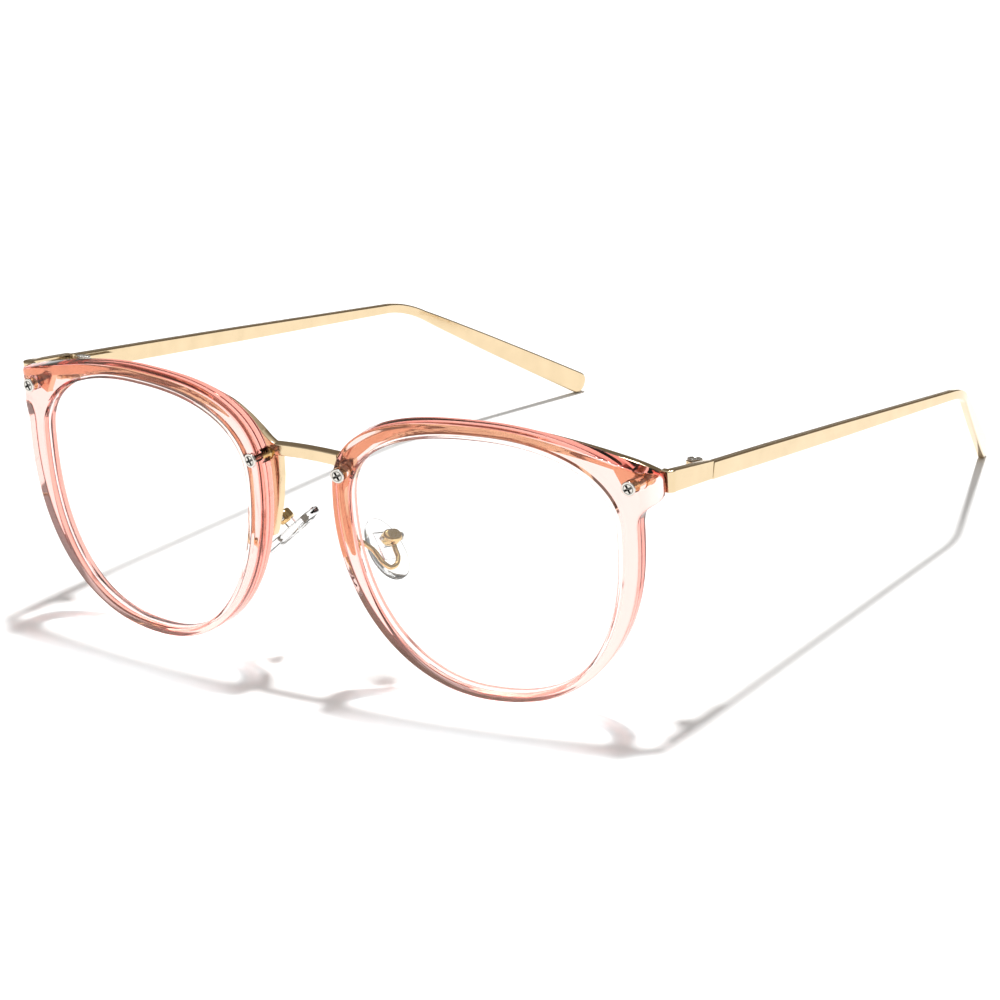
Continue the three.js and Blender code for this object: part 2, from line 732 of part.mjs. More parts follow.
for (const side of ['left', 'right']) {
  const sign = side === 'left' ? 1 : -1;
  const own = (geometry) => (sign > 0 ? geometry : mirrored(geometry));

  const rimPlane = new THREE.Group();
  rimPlane.name = `rim_plane_${side}`;
  rimPlane.rotation.z = sign * faceForm;
  front.add(rimPlane);
  place(rimPlane, `rim_${side}`, own(shapes.rim), pinkPlastic);
  place(rimPlane, `lens_${side}`, own(shapes.lens), clearLens);
  place(rimPlane, `brow_bar_${side}`, own(shapes.brow), gold);
  screwSpots.forEach(([x, z], i) => {
    const spot = ['outer', 'nasal'][i];
    place(rimPlane, `rim_boss_${spot}_${side}`, own(bossGeometry(x, z)), gold);
    place(rimPlane, `rim_screw_${spot}_${side}`, own(rimScrewGeometry(x, z)), steel);
  });
  place(front, `end_piece_${side}`, own(shapes.end), gold);

  const hinge = new THREE.Group();
  hinge.name = `hinge_${side}`;
  hinge.position.set(sign * hingeX, hingeY, hingeZ);
  hinge.rotation.x = -templeSlope;
  assembly.add(hinge);
  place(hinge, `hinge_front_${side}`, own(shapes.hingeFront), gold);
  place(hinge, `hinge_screw_${side}`, own(shapes.hingeScrew), steel);
  const arm = new THREE.Group();
  arm.name = `temple_line_${side}`;
  arm.rotation.z = sign * templeToe;
  hinge.add(arm);
  place(arm, `hinge_temple_${side}`, own(shapes.hingeTemple), gold);
  place(arm, `temple_${side}`, own(shapes.temple), gold);

  place(assembly, `pad_arm_${side}`, own(shapes.arm), gold);
  for (const [name, geometry, material] of [
    ['nose_pad', shapes.pad, silicone],
    ['pad_core', shapes.core, hardClear],
    ['pad_box', shapes.box, gold],
    ['pad_screw', shapes.padScrew, gold],
  ]) {
    place(assembly, `${name}_${side}`, own(geometry.clone().applyMatrix4(padFrame)), material);
  }
}
place(front, 'bridge_bar', bridgeGeometry(), gold);

// rims stand on z = 0, and the origin is under the middle of the whole
front.position.set(0, frontSetBack, 0);
front.updateMatrixWorld(true);
front.position.z = -new THREE.Box3().setFromObject(front, true).min.z;
root.updateMatrixWorld(true);
const whole = new THREE.Box3().setFromObject(root, true);
assembly.position.y = -(whole.min.y + whole.max.y) / 2;

export default root;
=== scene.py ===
import json
import math
import bpy
import bmesh
from mathutils import Matrix, Vector

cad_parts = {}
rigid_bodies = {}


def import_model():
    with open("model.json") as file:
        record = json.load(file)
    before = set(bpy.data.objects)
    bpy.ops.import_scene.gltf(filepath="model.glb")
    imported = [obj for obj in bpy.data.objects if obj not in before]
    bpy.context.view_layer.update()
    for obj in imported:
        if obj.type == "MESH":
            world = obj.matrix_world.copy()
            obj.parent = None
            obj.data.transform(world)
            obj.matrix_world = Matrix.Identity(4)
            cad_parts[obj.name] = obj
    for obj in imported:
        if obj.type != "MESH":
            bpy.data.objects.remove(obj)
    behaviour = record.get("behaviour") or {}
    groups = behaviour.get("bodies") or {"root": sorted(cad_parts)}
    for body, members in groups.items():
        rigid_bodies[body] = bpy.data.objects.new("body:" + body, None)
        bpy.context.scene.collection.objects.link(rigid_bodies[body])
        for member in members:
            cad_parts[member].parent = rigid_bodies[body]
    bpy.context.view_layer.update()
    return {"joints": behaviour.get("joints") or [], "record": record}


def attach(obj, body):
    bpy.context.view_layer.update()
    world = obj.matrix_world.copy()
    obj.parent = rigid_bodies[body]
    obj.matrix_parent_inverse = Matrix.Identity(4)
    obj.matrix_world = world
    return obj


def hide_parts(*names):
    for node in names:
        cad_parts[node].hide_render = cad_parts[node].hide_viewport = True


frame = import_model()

mm = 0.001
sides = ("left", "right")                 # the wearer's left is +X


def linked(name, data):
    # an object in the scene that shows this data
    obj = bpy.data.objects.new(name, data)
    bpy.context.scene.collection.objects.link(obj)
    return obj


def addNode(tree, kind, **values):
    # a node with its settings and socket values filled in; an underscore stands for a space
    node = tree.nodes.new(kind)
    for name, value in values.items():
        if hasattr(node, name):
            setattr(node, name, value)
        else:
            node.inputs[name.replace("_", " ")].default_value = value
    return node


# camera, light and table
print("camera and studio")
studio = {
    "azimuth": 33.23, "elevation": 18.33, "roll": 1.6,
    "lens": 170.74, "sensor": 36, "place": (0.4534, -0.7117, 0.2878),
    "keyAzimuth": 108, "keyElevation": 73, "keyDistance": 4.0, "keySize": 0.325, "keyPower": 169,
    "ambient": 0.5, "sideWall": 0.6, "floorHalf": 3.2,
    # height of the direction: table white below, a dim wall, a bright ceiling of cloth
    "skyStops": [(0.0, 1.4), (0.495, 1.4), (0.505, 0.48), (0.85, 0.36), (0.93, 1.7), (1.0, 1.7)],
    "dimTint": (1, 0.88, 0.74), "wallFrom": 0.15, "wallFull": 0.5,
}


def lookMatrix(azimuth, elevation, roll):
    az, el = math.radians(azimuth), math.radians(elevation)
    ahead = Vector((-math.sin(az) * math.cos(el), math.cos(az) * math.cos(el), -math.sin(el)))
    level = Vector((math.cos(az), math.sin(az), 0))
    high = level.cross(ahead)
    turn = math.radians(roll)
    across = level * math.cos(turn) - high * math.sin(turn)
    up = across.cross(ahead)
    return Matrix((across, up, -ahead)).transposed().to_4x4()


cameraData = bpy.data.cameras.new("camera")
cameraData.lens = studio["lens"]
cameraData.sensor_width = studio["sensor"]
cameraData.clip_start = 0.01
camera = linked("camera", cameraData)
camera.matrix_world = Matrix.Translation(studio["place"]) @ lookMatrix(
    studio["azimuth"], studio["elevation"], studio["roll"])
bpy.context.scene.camera = camera
bpy.context.scene.view_settings.view_transform = "Standard"

world = bpy.data.worlds.new("studio")
bpy.context.scene.world = world
world.use_nodes = True
wt = world.node_tree
wt.nodes.clear()
skyOut = addNode(wt, "ShaderNodeOutputWorld")
sky = addNode(wt, "ShaderNodeBackground", Strength=studio["ambient"])
skyPlace = addNode(wt, "ShaderNodeTexCoord")
skySplit = addNode(wt, "ShaderNodeSeparateXYZ")
skyRamp = addNode(wt, "ShaderNodeValToRGB")
ramp = skyRamp.color_ramp
ramp.interpolation = "EASE"
while len(ramp.elements) < len(studio["skyStops"]):
    ramp.elements.new(0.5)
for element, (at, level) in zip(ramp.elements, studio["skyStops"]):
    element.position = at
    element.color = (*[level * c for c in studio["dimTint"]], 1) if level < 1 else (level, level, level, 1)
skyHalf = addNode(wt, "ShaderNodeMath", operation="MULTIPLY_ADD")
for socket in skyHalf.inputs[1:3]:
    socket.default_value = 0.5
# the dim wall stands only behind the set; lighter ones close the sides
behind = addNode(wt, "ShaderNodeVectorMath", operation="DOT_PRODUCT")
wallAz = math.radians(studio["azimuth"])
behind.inputs[1].default_value = (-math.sin(wallAz), math.cos(wallAz), 0)
wallShare = addNode(wt, "ShaderNodeMapRange", From_Min=studio["wallFrom"], From_Max=studio["wallFull"])
lighter = addNode(wt, "ShaderNodeMix", data_type="RGBA", blend_type="LIGHTEN")
lighter.inputs["B"].default_value = (studio["sideWall"], studio["sideWall"], studio["sideWall"], 1)
opposite = addNode(wt, "ShaderNodeMath", operation="SUBTRACT")
opposite.inputs[0].default_value = 1
for source, socket in (
        (skyPlace.outputs["Generated"], skySplit.inputs[0]), (skySplit.outputs["Z"], skyHalf.inputs[0]),
        (skyHalf.outputs[0], skyRamp.inputs[0]), (skyPlace.outputs["Generated"], behind.inputs[0]),
        (behind.outputs["Value"], wallShare.inputs["Value"]), (wallShare.outputs[0], opposite.inputs[1]),
        (opposite.outputs[0], lighter.inputs["Factor"]), (skyRamp.outputs[0], lighter.inputs["A"]),
        (lighter.outputs["Result"], sky.inputs["Color"]), (sky.outputs[0], skyOut.inputs["Surface"])):
    wt.links.new(source, socket)

keyAz, keyEl = math.radians(studio["keyAzimuth"]), math.radians(studio["keyElevation"])
toKey = Vector((math.cos(keyAz) * math.cos(keyEl), math.sin(keyAz) * math.cos(keyEl), math.sin(keyEl)))
keyData = bpy.data.lights.new("key", "AREA")
keyData.shape = "DISK"
keyData.size = studio["keySize"]
keyData.energy = studio["keyPower"]
key = linked("key", keyData)
key.location = toKey * studio["keyDistance"]
key.rotation_euler = toKey.to_track_quat("Z", "Y").to_euler()


# finishes
print("finishes")


class Finish:
    # a material and a few short ways to add nodes to it
    def __init__(self, name):
        self.material = bpy.data.materials.new(name)
        self.material.use_nodes = True
        self.tree = self.material.node_tree
        self.tree.nodes.clear()
        self.out = self.add("ShaderNodeOutputMaterial")
        self.place = self.add("ShaderNodeTexCoord")

    def add(self, kind, **values):
        return addNode(self.tree, kind, **values)

    def link(self, a, b):
        self.tree.links.new(a, b)

    def noise(self, scale, detail=3, stretch=(1, 1, 1)):
        turn = self.add("ShaderNodeMapping", Scale=stretch)
        self.link(self.place.outputs["Object"], turn.inputs["Vector"])
        noise = self.add("ShaderNodeTexNoise", Scale=scale, Detail=detail)
        self.link(turn.outputs[0], noise.inputs["Vector"])
        return noise.outputs["Fac"]

    def spread(self, source, low, high, fromLow=0.3, fromHigh=0.7):
        node = self.add("ShaderNodeMapRange", From_Min=fromLow, From_Max=fromHigh, To_Min=low, To_Max=high)
        self.link(source, node.inputs["Value"])
        return node.outputs[0]

    def tint(self, source, first, second):
        node = self.add("ShaderNodeValToRGB")
        for element, at, colour in zip(node.color_ramp.elements, (0.3, 0.7), (first, second)):
            element.position = at
            element.color = (*colour, 1)
        self.link(source, node.inputs[0])
        return node.outputs[0]

    def bump(self, source, strength, depth):
        node = self.add("ShaderNodeBump", Strength=strength, Distance=depth)
        self.link(source, node.inputs["Height"])
        return node.outputs[0]

    def darken(self, colour, share, by):
        # colour times by, where share is one
        node = self.add("ShaderNodeMix", data_type="RGBA", blend_type="MULTIPLY")
        self.link(share, node.inputs["Factor"])
        self.link(colour, node.inputs["A"])
        node.inputs["B"].default_value = (*by, 1)
        return node.outputs["Result"]


def clearFinish(name, ior, tints, rough, lampTints, swallow=None, bump=0.0, bumpScale=900,
                edgeTint=None, mirrorTint=(1, 1, 1), wallTint=None):
    # see-through moulded stock; lamps pass it, less so where it is met edge on
    f = Finish(name)
    body = f.add("ShaderNodeBsdfPrincipled", Transmission_Weight=1, IOR=ior, Specular_Tint=(*mirrorTint, 1))
    slant = f.add("ShaderNodeLayerWeight")
    cloud = f.tint(f.noise(140, 4), *tints)
    if edgeTint:                               # deeper colour where a face turns away
        cloud = f.darken(cloud, f.spread(slant.outputs["Facing"], 0, 1, 0.3, 0.95), edgeTint)
    if wallTint:                               # and across the walls, where light has come a long way
        wall = f.add("ShaderNodeAttribute", attribute_name="wall")
        cloud = f.darken(cloud, f.spread(wall.outputs["Fac"], 0, 1, 0, 1), wallTint)
    f.link(cloud, body.inputs["Base Color"])
    f.link(f.spread(f.noise(420, 2), *rough), body.inputs["Roughness"])
    if bump:
        f.link(f.bump(f.noise(bumpScale, 2), bump, 0.00002), body.inputs["Normal"])
    thin = f.add("ShaderNodeBsdfTransparent")
    f.link(f.tint(slant.outputs["Facing"], *lampTints), thin.inputs["Color"])
    ray = f.add("ShaderNodeLightPath")
    mix = f.add("ShaderNodeMixShader")
    f.link(ray.outputs["Is Shadow Ray"], mix.inputs[0])
    f.link(body.outputs[0], mix.inputs[1])
    f.link(thin.outputs[0], mix.inputs[2])
    f.link(mix.outputs[0], f.out.inputs["Surface"])
    if swallow:
        colour, density = swallow
        inside = f.add("ShaderNodeVolumeAbsorption", Color=(*colour, 1), Density=density)
        f.link(inside.outputs[0], f.out.inputs["Volume"])
    return f.material


def metalFinish(name, first, second, rough, grain, bump):
    # plated metal with fine drawn lines, with painted shade that darkens the colour inside a recess
    f = Finish(name)
    body = f.add("ShaderNodeBsdfPrincipled", Metallic=1)
    lines = f.noise(grain, 3, (1, 0.12, 1))
    hollow = f.add("ShaderNodeAttribute", attribute_name="hollow")
    # painted shade: the base colour turns dark wherever the hollow layer is set
    recessShade = f.add("ShaderNodeMix", data_type="RGBA")
    f.link(f.spread(hollow.outputs["Fac"], 0, 1, 0, 1), recessShade.inputs["Factor"])
    f.link(f.tint(f.noise(260, 4), first, second), recessShade.inputs["A"])
    recessShade.inputs["B"].default_value = (*[c * 0.18 for c in second], 1)
    f.link(recessShade.outputs["Result"], body.inputs["Base Color"])
    f.link(f.spread(lines, *rough), body.inputs["Roughness"])
    f.link(f.bump(lines, bump, 0.00001), body.inputs["Normal"])
    f.link(body.outputs[0], f.out.inputs["Surface"])
    return f.material


blush = clearFinish("blushPlastic", ior=1.49, tints=((1, 0.985, 0.98), (1, 0.97, 0.962)), rough=(0, 0.012),
                    lampTints=((0.72, 0.8, 0.83), (0.4, 0.56, 0.6)), swallow=((0.95, 0.22, 0.1), 120.0),
                    bump=0.03, bumpScale=700, edgeTint=(1, 0.42, 0.36), mirrorTint=(1, 0.52, 0.44),
                    wallTint=(1, 0.62, 0.55))
lensClear = clearFinish("lensClear", ior=1.5, tints=((1, 1, 1), (0.995, 0.998, 1)), rough=(0, 0.004),
                        lampTints=((0.99,) * 3, (0.95,) * 3))
silicone = clearFinish("clearSilicone", ior=1.3, tints=((1, 1, 1), (0.985,) * 3), rough=(0, 0.01),
                       lampTints=((0.99,) * 3, (0.3,) * 3), swallow=((0.5,) * 3, 30.0), edgeTint=(0.3,) * 3)
hardClear = clearFinish("hardClearCore", ior=1.5, tints=((1, 1, 1), (0.97,) * 3), rough=(0.01, 0.05),
                        lampTints=((0.97,) * 3, (0.7,) * 3))
gold = metalFinish("paleGold", (0.76, 0.60, 0.39), (0.70, 0.55, 0.35), (0.09, 0.16), 1800, 0.05)
richGold = metalFinish("polishedGold", (0.74, 0.52, 0.25), (0.66, 0.45, 0.2), (0.03, 0.07), 1500, 0.02)
steel = metalFinish("plainSteel", (0.72, 0.69, 0.64), (0.62, 0.60, 0.56), (0.14, 0.24), 2600, 0.08)

floorFinish = Finish("tableTop")
floorBody = floorFinish.add("ShaderNodeBsdfPrincipled", Roughness=0.75)
floorBody.inputs["Specular IOR Level"].default_value = 0.1
floorFinish.link(floorFinish.tint(floorFinish.noise(8, 2), (0.9, 0.9, 0.895), (0.92, 0.92, 0.915)),
                 floorBody.inputs["Base Color"])
floorFinish.link(floorBody.outputs[0], floorFinish.out.inputs["Surface"])
half = studio["floorHalf"]
floorMesh = bpy.data.meshes.new("floor")
floorMesh.from_pydata([(-half, -half, 0), (half, -half, 0), (half, half, 0), (-half, half, 0)], [],
                      [(0, 1, 2, 3)])
floorMesh.materials.append(floorFinish.material)
floor = linked("floor", floorMesh)


def meshObject(name, verts, faces, material, edges=()):
    mesh = bpy.data.meshes.new(name)
    mesh.from_pydata([tuple(v) for v in verts], edges, faces)
    mesh.materials.append(material)
    return linked(name, mesh)


def tubeFaces(rings, around, closed=False):
    # faces between loops that follow each other; the last may join the first
    faces = []
    for i in range(rings if closed else rings - 1):
        j = (i + 1) % rings
        for k in range(around):
            n = (k + 1) % around
            faces.append((i * around + k, i * around + n, j * around + n, j * around + k))
    if not closed:
        faces += [tuple(range(around)), tuple(range((rings - 1) * around, rings * around))]
    return faces


def addLayer(mesh, name, values, kind="FLOAT", domain="POINT"):
    layer = mesh.attributes.new(name, kind, domain)
    layer.data.foreach_set("vector" if kind == "FLOAT_VECTOR" else "value", values)


def solid(name, bm, material=None):
    # the worked mesh becomes an object of its own
    mesh = bpy.data.meshes.new(name)
    bm.to_mesh(mesh)
    bm.free()
    if material:
        mesh.materials.append(material)
    return linked(name, mesh)


def bake(obj):
    # the evaluated shape becomes the mesh, and the modifiers go
    bpy.context.view_layer.update()
    evaluated = obj.evaluated_get(bpy.context.evaluated_depsgraph_get())
    mesh = bpy.data.meshes.new_from_object(evaluated)
    name = obj.name
    if not mesh.materials:
        mesh.materials.append(obj.data.materials[0])
    made = linked(name + "Made", mesh)
    bpy.data.objects.remove(obj)
    made.name = name
    mesh.name = name
    return made


def place(obj, matrix):
    obj.data.transform(matrix)
    if matrix.determinant() < 0:
        obj.data.flip_normals()
    return obj


def outward(obj):
    bm = bmesh.new()
    bm.from_mesh(obj.data)
    bmesh.ops.remove_doubles(bm, verts=bm.verts, dist=0.0000005)
    bmesh.ops.recalc_face_normals(bm, faces=bm.faces)
    bm.to_mesh(obj.data)
    bm.free()
    return obj


def combine(obj, operation, *tools):
    for tool in tools:
        step = obj.modifiers.new(operation.lower(), "BOOLEAN")
        step.operation = operation
        step.solver = "EXACT"
        step.object = tool
    made = bake(obj)
    for tool in tools:
        bpy.data.objects.remove(tool)
    return outward(made)


def soften(obj, angle=32):
    # smooth shading, crisp past the angle, and flats that stay flat
    obj.data.shade_smooth()
    obj.data.set_sharp_from_angle(angle=math.radians(angle))
    flat = obj.modifiers.new("flat", "WEIGHTED_NORMAL")
    flat.keep_sharp = True
    flat.weight = 80
    return bake(obj)


def bodyFor(node):
    for body, members in frame["record"]["behaviour"]["bodies"].items():
        if node in members:
            return body
    raise KeyError(node)


def settle(obj, *nodes):
    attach(obj, bodyFor(nodes[0]))
    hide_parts(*nodes)


def pair(obj, *stems):
    # obj is the wearer's left piece; its mirror image is the right one
    mesh = obj.data.copy()
    twin = linked(obj.name, mesh)
    bm = bmesh.new()
    bm.from_mesh(mesh)
    bm.transform(Matrix.Scale(-1, 4, (1, 0, 0)))
    bmesh.ops.reverse_faces(bm, faces=bm.faces)
    bm.to_mesh(mesh)
    bm.free()
    base = obj.name
    obj.name = base + "Left"
    twin.name = base + "Right"
    if obj.data.has_custom_normals:
        twin = soften(twin)
    settle(obj, *[s + "_left" for s in stems])
    settle(twin, *[s + "_right" for s in stems])


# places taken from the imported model
hinge = next(j for j in frame["joints"] if j["name"] == "temple_fold_left")
hingeAt = Vector(hinge["pos_m"])
layout = {
    "tilt": 3.55, "faceForm": 7.9,             # degrees
    "hingeBack": 25.3, "setBack": -0.93,       # hinge behind the front's foremost line
    "frontUp": 32.9035,
    "templeSlope": 8.1, "templeToe": 2.8,
}
tableY = hingeAt.y - layout["hingeBack"] * mm
frontFrame = (Matrix.Translation((0, tableY + layout["setBack"] * mm, layout["frontUp"] * mm))
              @ Matrix.Rotation(math.radians(layout["tilt"]), 4, "X") @ Matrix.Scale(mm, 4))
rimFrame = frontFrame @ Matrix.Rotation(math.radians(layout["faceForm"]), 4, "Z")
hingeFrame = (Matrix.Translation(hingeAt) @ Matrix.Rotation(-math.radians(layout["templeSlope"]), 4, "X")
              @ Matrix.Scale(mm, 4))
templeFrame = hingeFrame @ Matrix.Rotation(math.radians(layout["templeToe"]), 4, "Z")


# rims and lenses
print("rims and lenses")
rimBits = {
    "trim": 0.9997,                            # keeps the ring's height just inside the CAD's
    "centre": 35.84,
    "openHalf": 24.8, "openTop": 14.2, "openBottom": 31.7,
    "openPowers": (2.2, 2.45, 2.15, 2.45),     # temple-top, nose-top, nose-bottom, temple-bottom
    "outNasal": 28.2, "outTemporal": 28.7, "outTop": 16.8, "outBottom": 33.3,
    "depth": 3.7, "fillet": 0.42, "filletSteps": 4, "faceSteps": 9,
    "around": 300, "lugBack": 3.9, "lugBackFrom": 65.2,
    "browPull": ((47, 16.8), (57.5, 13.7), (65.4, 11.55)),
    "outPowers": (2.85, 2.05, 2.25),           # nose-top, nose-bottom, temple-bottom
    "lug": [(64.54, 0), (64.52, 2.2), (65.0, 4.0), (66.2, 5.0), (67.6, 5.75), (68.25, 6.7), (68.25, 10.2),
            (67.4, 10.85), (65.4, 11.55)],
    "lugRound": 0.9,
    # how far the face lies back, across the rim: the lug's slants away as it goes out
    "faceLine": [(-99, 0), (64.5, 0), (65.3, 0.45), (68.25, 3.2), (99, 3.2)],
    "lensThick": 1.3, "lensMid": 1.75, "lensEdge": 0.18, "lip": 0.6, "grooveSlack": 0.12,
}
rb = rimBits


def quarterPoint(a, half, tall, power):
    c, s = math.cos(a), math.sin(a)
    return (rb["centre"] + half * math.copysign(abs(c) ** (2 / power), c),
            tall * math.copysign(abs(s) ** (2 / power), s))


def bezier(p0, p1, p2, p3, count):
    pts = []
    for i in range(count + 1):
        t = i / count
        pts.append(tuple((1 - t) ** 3 * p0[k] + 3 * (1 - t) ** 2 * t * p1[k]
                         + 3 * (1 - t) * t * t * p2[k] + t ** 3 * p3[k] for k in (0, 1)))
    return pts


def rounded(points, radius, steps=5):
    # an open run of straight pieces whose corners are eased over
    out = [points[0]]
    for before, corner, after in zip(points, points[1:], points[2:]):
        b, c, a = Vector(before), Vector(corner), Vector(after)
        reach = min(radius, (b - c).length * 0.45, (a - c).length * 0.45)
        start = c + (b - c).normalized() * reach
        end = c + (a - c).normalized() * reach
        for i in range(steps + 1):
            t = i / steps
            out.append(tuple((1 - t) ** 2 * start + 2 * (1 - t) * t * c + t * t * end))
    out.append(points[-1])
    return out


def outerLine():
    nasalTop, nasalLow, templeLow = rb["outPowers"]
    line = bezier((rb["centre"], rb["outTop"]), *rb["browPull"], 60)[::-1]
    line += [quarterPoint(math.pi / 2 * (1 + i / 60), rb["outNasal"], rb["outTop"], nasalTop)
             for i in range(1, 60)]
    line += [quarterPoint(math.pi * (1 + i / 160), rb["outNasal"], rb["outBottom"], nasalLow)
             for i in range(80)]
    line += [quarterPoint(math.pi * (1.5 + i / 160), rb["outTemporal"], rb["outBottom"], templeLow)
             for i in range(80)]
    return line + rounded(rb["lug"], rb["lugRound"])[:-1]


def evenly(points, count):
    # points at even steps along a closed line
    pts = [Vector(p) for p in points]
    pts.append(pts[0])
    along = [0.0]
    for a, b in zip(pts, pts[1:]):
        along.append(along[-1] + (b - a).length)
    out, j = [], 0
    for i in range(count):
        want = along[-1] * i / count
        while along[j + 1] < want:
            j += 1
        t = (want - along[j]) / max(along[j + 1] - along[j], 1e-9)
        out.append(pts[j].lerp(pts[j + 1], t))
    return out


def insetLine(points, amount):
    # moves a closed anticlockwise line inwards
    out = []
    for i, p in enumerate(points):
        tangent = (points[(i + 1) % len(points)] - points[i - 1]).normalized()
        out.append(p + Vector((-tangent.y, tangent.x)) * amount)
    return out


def openingPoint(outer, grow):
    # the point of the lens opening, grown by grow, that faces this point of the outer line
    half, top, low = rb["openHalf"] + grow, rb["openTop"] + grow, rb["openBottom"] + grow
    x = (outer.x - rb["centre"]) / half
    y = outer.y / (top if outer.y > 0 else low)
    temple, upper = x > 0, y > 0
    power = rb["openPowers"][(0 if temple else 1) if upper else (3 if temple else 2)]
    r = (abs(x) ** power + abs(y) ** power) ** (-1 / power)
    return Vector((rb["centre"] + half * r * x, (top if upper else low) * r * y))


def frontDepth(u):
    for (a, ya), (b, yb) in zip(rb["faceLine"], rb["faceLine"][1:]):
        if u <= b:
            return ya + (yb - ya) * (u - a) / (b - a)


def backDepth(u):
    t = min(max(u - rb["lugBackFrom"], 0), 1)
    return rb["depth"] + (rb["lugBack"] - rb["depth"]) * t


outer = evenly(outerLine(), rb["around"])
outline = []                                   # loops round the section, each a list of (u, depth share, v)


def loop(points, y):
    outline.append([(p.x, y, p.y) for p in points])


def openAt(grow):
    return [openingPoint(p, grow) for p in outer]


fil, deep, steps = rb["fillet"], rb["depth"], rb["filletSteps"]
grooveLow = rb["lensMid"] - rb["lensThick"] / 2 - rb["grooveSlack"]
grooveHigh = rb["lensMid"] + rb["lensThick"] / 2 + rb["grooveSlack"]
for i in range(3):                             # outer wall, back to front
    loop(outer, deep - fil - (deep - 2 * fil) * i / 2)
for i in range(1, steps + 1):                  # outer front fillet
    a = math.pi / 2 * i / steps
    loop(insetLine(outer, fil * (1 - math.cos(a))), fil * (1 - math.sin(a)))
outerEdge, innerEdge = insetLine(outer, fil), openAt(fil)
for i in range(1, rb["faceSteps"]):            # front face
    t = i / rb["faceSteps"]
    loop([a.lerp(b, t) for a, b in zip(outerEdge, innerEdge)], 0)
for i in range(steps + 1):                     # inner front fillet
    a = math.pi / 2 * i / steps
    loop(openAt(fil * (1 - math.sin(a))), fil * (1 - math.cos(a)))
loop(openAt(0), grooveLow)
loop(openAt(rb["lip"] + rb["grooveSlack"]), grooveLow)
loop(openAt(rb["lip"] + rb["grooveSlack"]), grooveHigh)
loop(openAt(0), grooveHigh)
for i in range(steps + 1):                     # inner back fillet
    a = math.pi / 2 * i / steps
    loop(openAt(fil * (1 - math.cos(a))), deep - fil + fil * math.sin(a))
for i in range(1, rb["faceSteps"]):            # back face
    t = i / rb["faceSteps"]
    loop([b.lerp(a, t) for a, b in zip(outerEdge, innerEdge)], deep)
for i in range(steps):                         # outer back fillet
    a = math.pi / 2 * i / steps
    loop(insetLine(outer, fil * (1 - math.sin(a))), deep - fil + fil * math.cos(a))

rimVerts = []
around = rb["around"]
for ring in outline:
    for u, y, v in ring:
        front, back = frontDepth(u), backDepth(u)
        rimVerts.append((u, front + (back - front) * y / deep, v * rb["trim"]))
rim = outward(meshObject("rim", rimVerts, tubeFaces(len(outline), around, True), blush))


# screws' places, shared by bores, bosses and heads
screwBits = {
    "spots": {"outer": (63.4, 8.8), "nasal": (9.18, 5.3)},
    "boreRadius": 0.62, "bossRadius": 1.13, "bossBore": 1.2, "bossFront": 1.9, "slack": 0.05,
    "headRadius": 1.3, "headLow": -0.02, "shank": 0.55, "shankEnd": -4.6,
    # one blade of the cross, at the crown and at its foot: long, wide, height
    "crossTop": (1.75, 0.46, 0.62), "crossFoot": (1.1, 0.28, 0.1), "crossTurn": 0.5,
}
sb = screwBits


def rod(name, low, high, radius, material, around=56):
    bm = bmesh.new()
    bmesh.ops.create_cone(bm, segments=around, radius1=radius, radius2=radius, depth=high - low,
                          cap_ends=True)
    bm.transform(Matrix.Translation((0, 0, (low + high) / 2)))
    return solid(name, bm, material)


def cutter(name, u, v, radius, low, high):
    # a rod from front to back at a spot on the rim
    tool = rod(name, -high, -low, radius, blush, 48)
    return place(tool, Matrix.Translation((u, 0, v)) @ Matrix.Rotation(math.pi / 2, 4, "X"))


cutters = []
for spot, (u, v) in sb["spots"].items():
    cutters.append(cutter("bore" + spot, u, v, sb["boreRadius"], -1, 6))
    cutters.append(cutter("bossBore" + spot, u, v, sb["bossBore"], sb["bossFront"] - sb["slack"], 6))
rim = combine(rim, "DIFFERENCE", *cutters)
# how far each face turns from the front toward the walls
addLayer(rim.data, "wall", [min(max((0.9 - abs(f.normal.y)) / 0.5, 0), 1) for f in rim.data.polygons],
         domain="FACE")
rim = soften(place(rim, rimFrame), 35)
pair(rim, "rim")

# lenses: flat discs whose edge is held in the rim's groove
edge = rb["lensEdge"]
lowY, highY = rb["lensMid"] - rb["lensThick"] / 2, rb["lensMid"] + rb["lensThick"] / 2
lensVerts = []
for grow, y in [(-edge, lowY), (0, lowY + edge), (0, highY - edge), (-edge, highY)]:
    lensVerts += [(p.x, y, p.y) for p in openAt(rb["lip"] + grow)]
lens = outward(meshObject("lens", lensVerts, tubeFaces(4, around), lensClear))
lens = soften(place(lens, rimFrame), 30)
pair(lens, "lens")


# bars that follow a path: a node tree sweeps a rounded section
print("metal chassis")


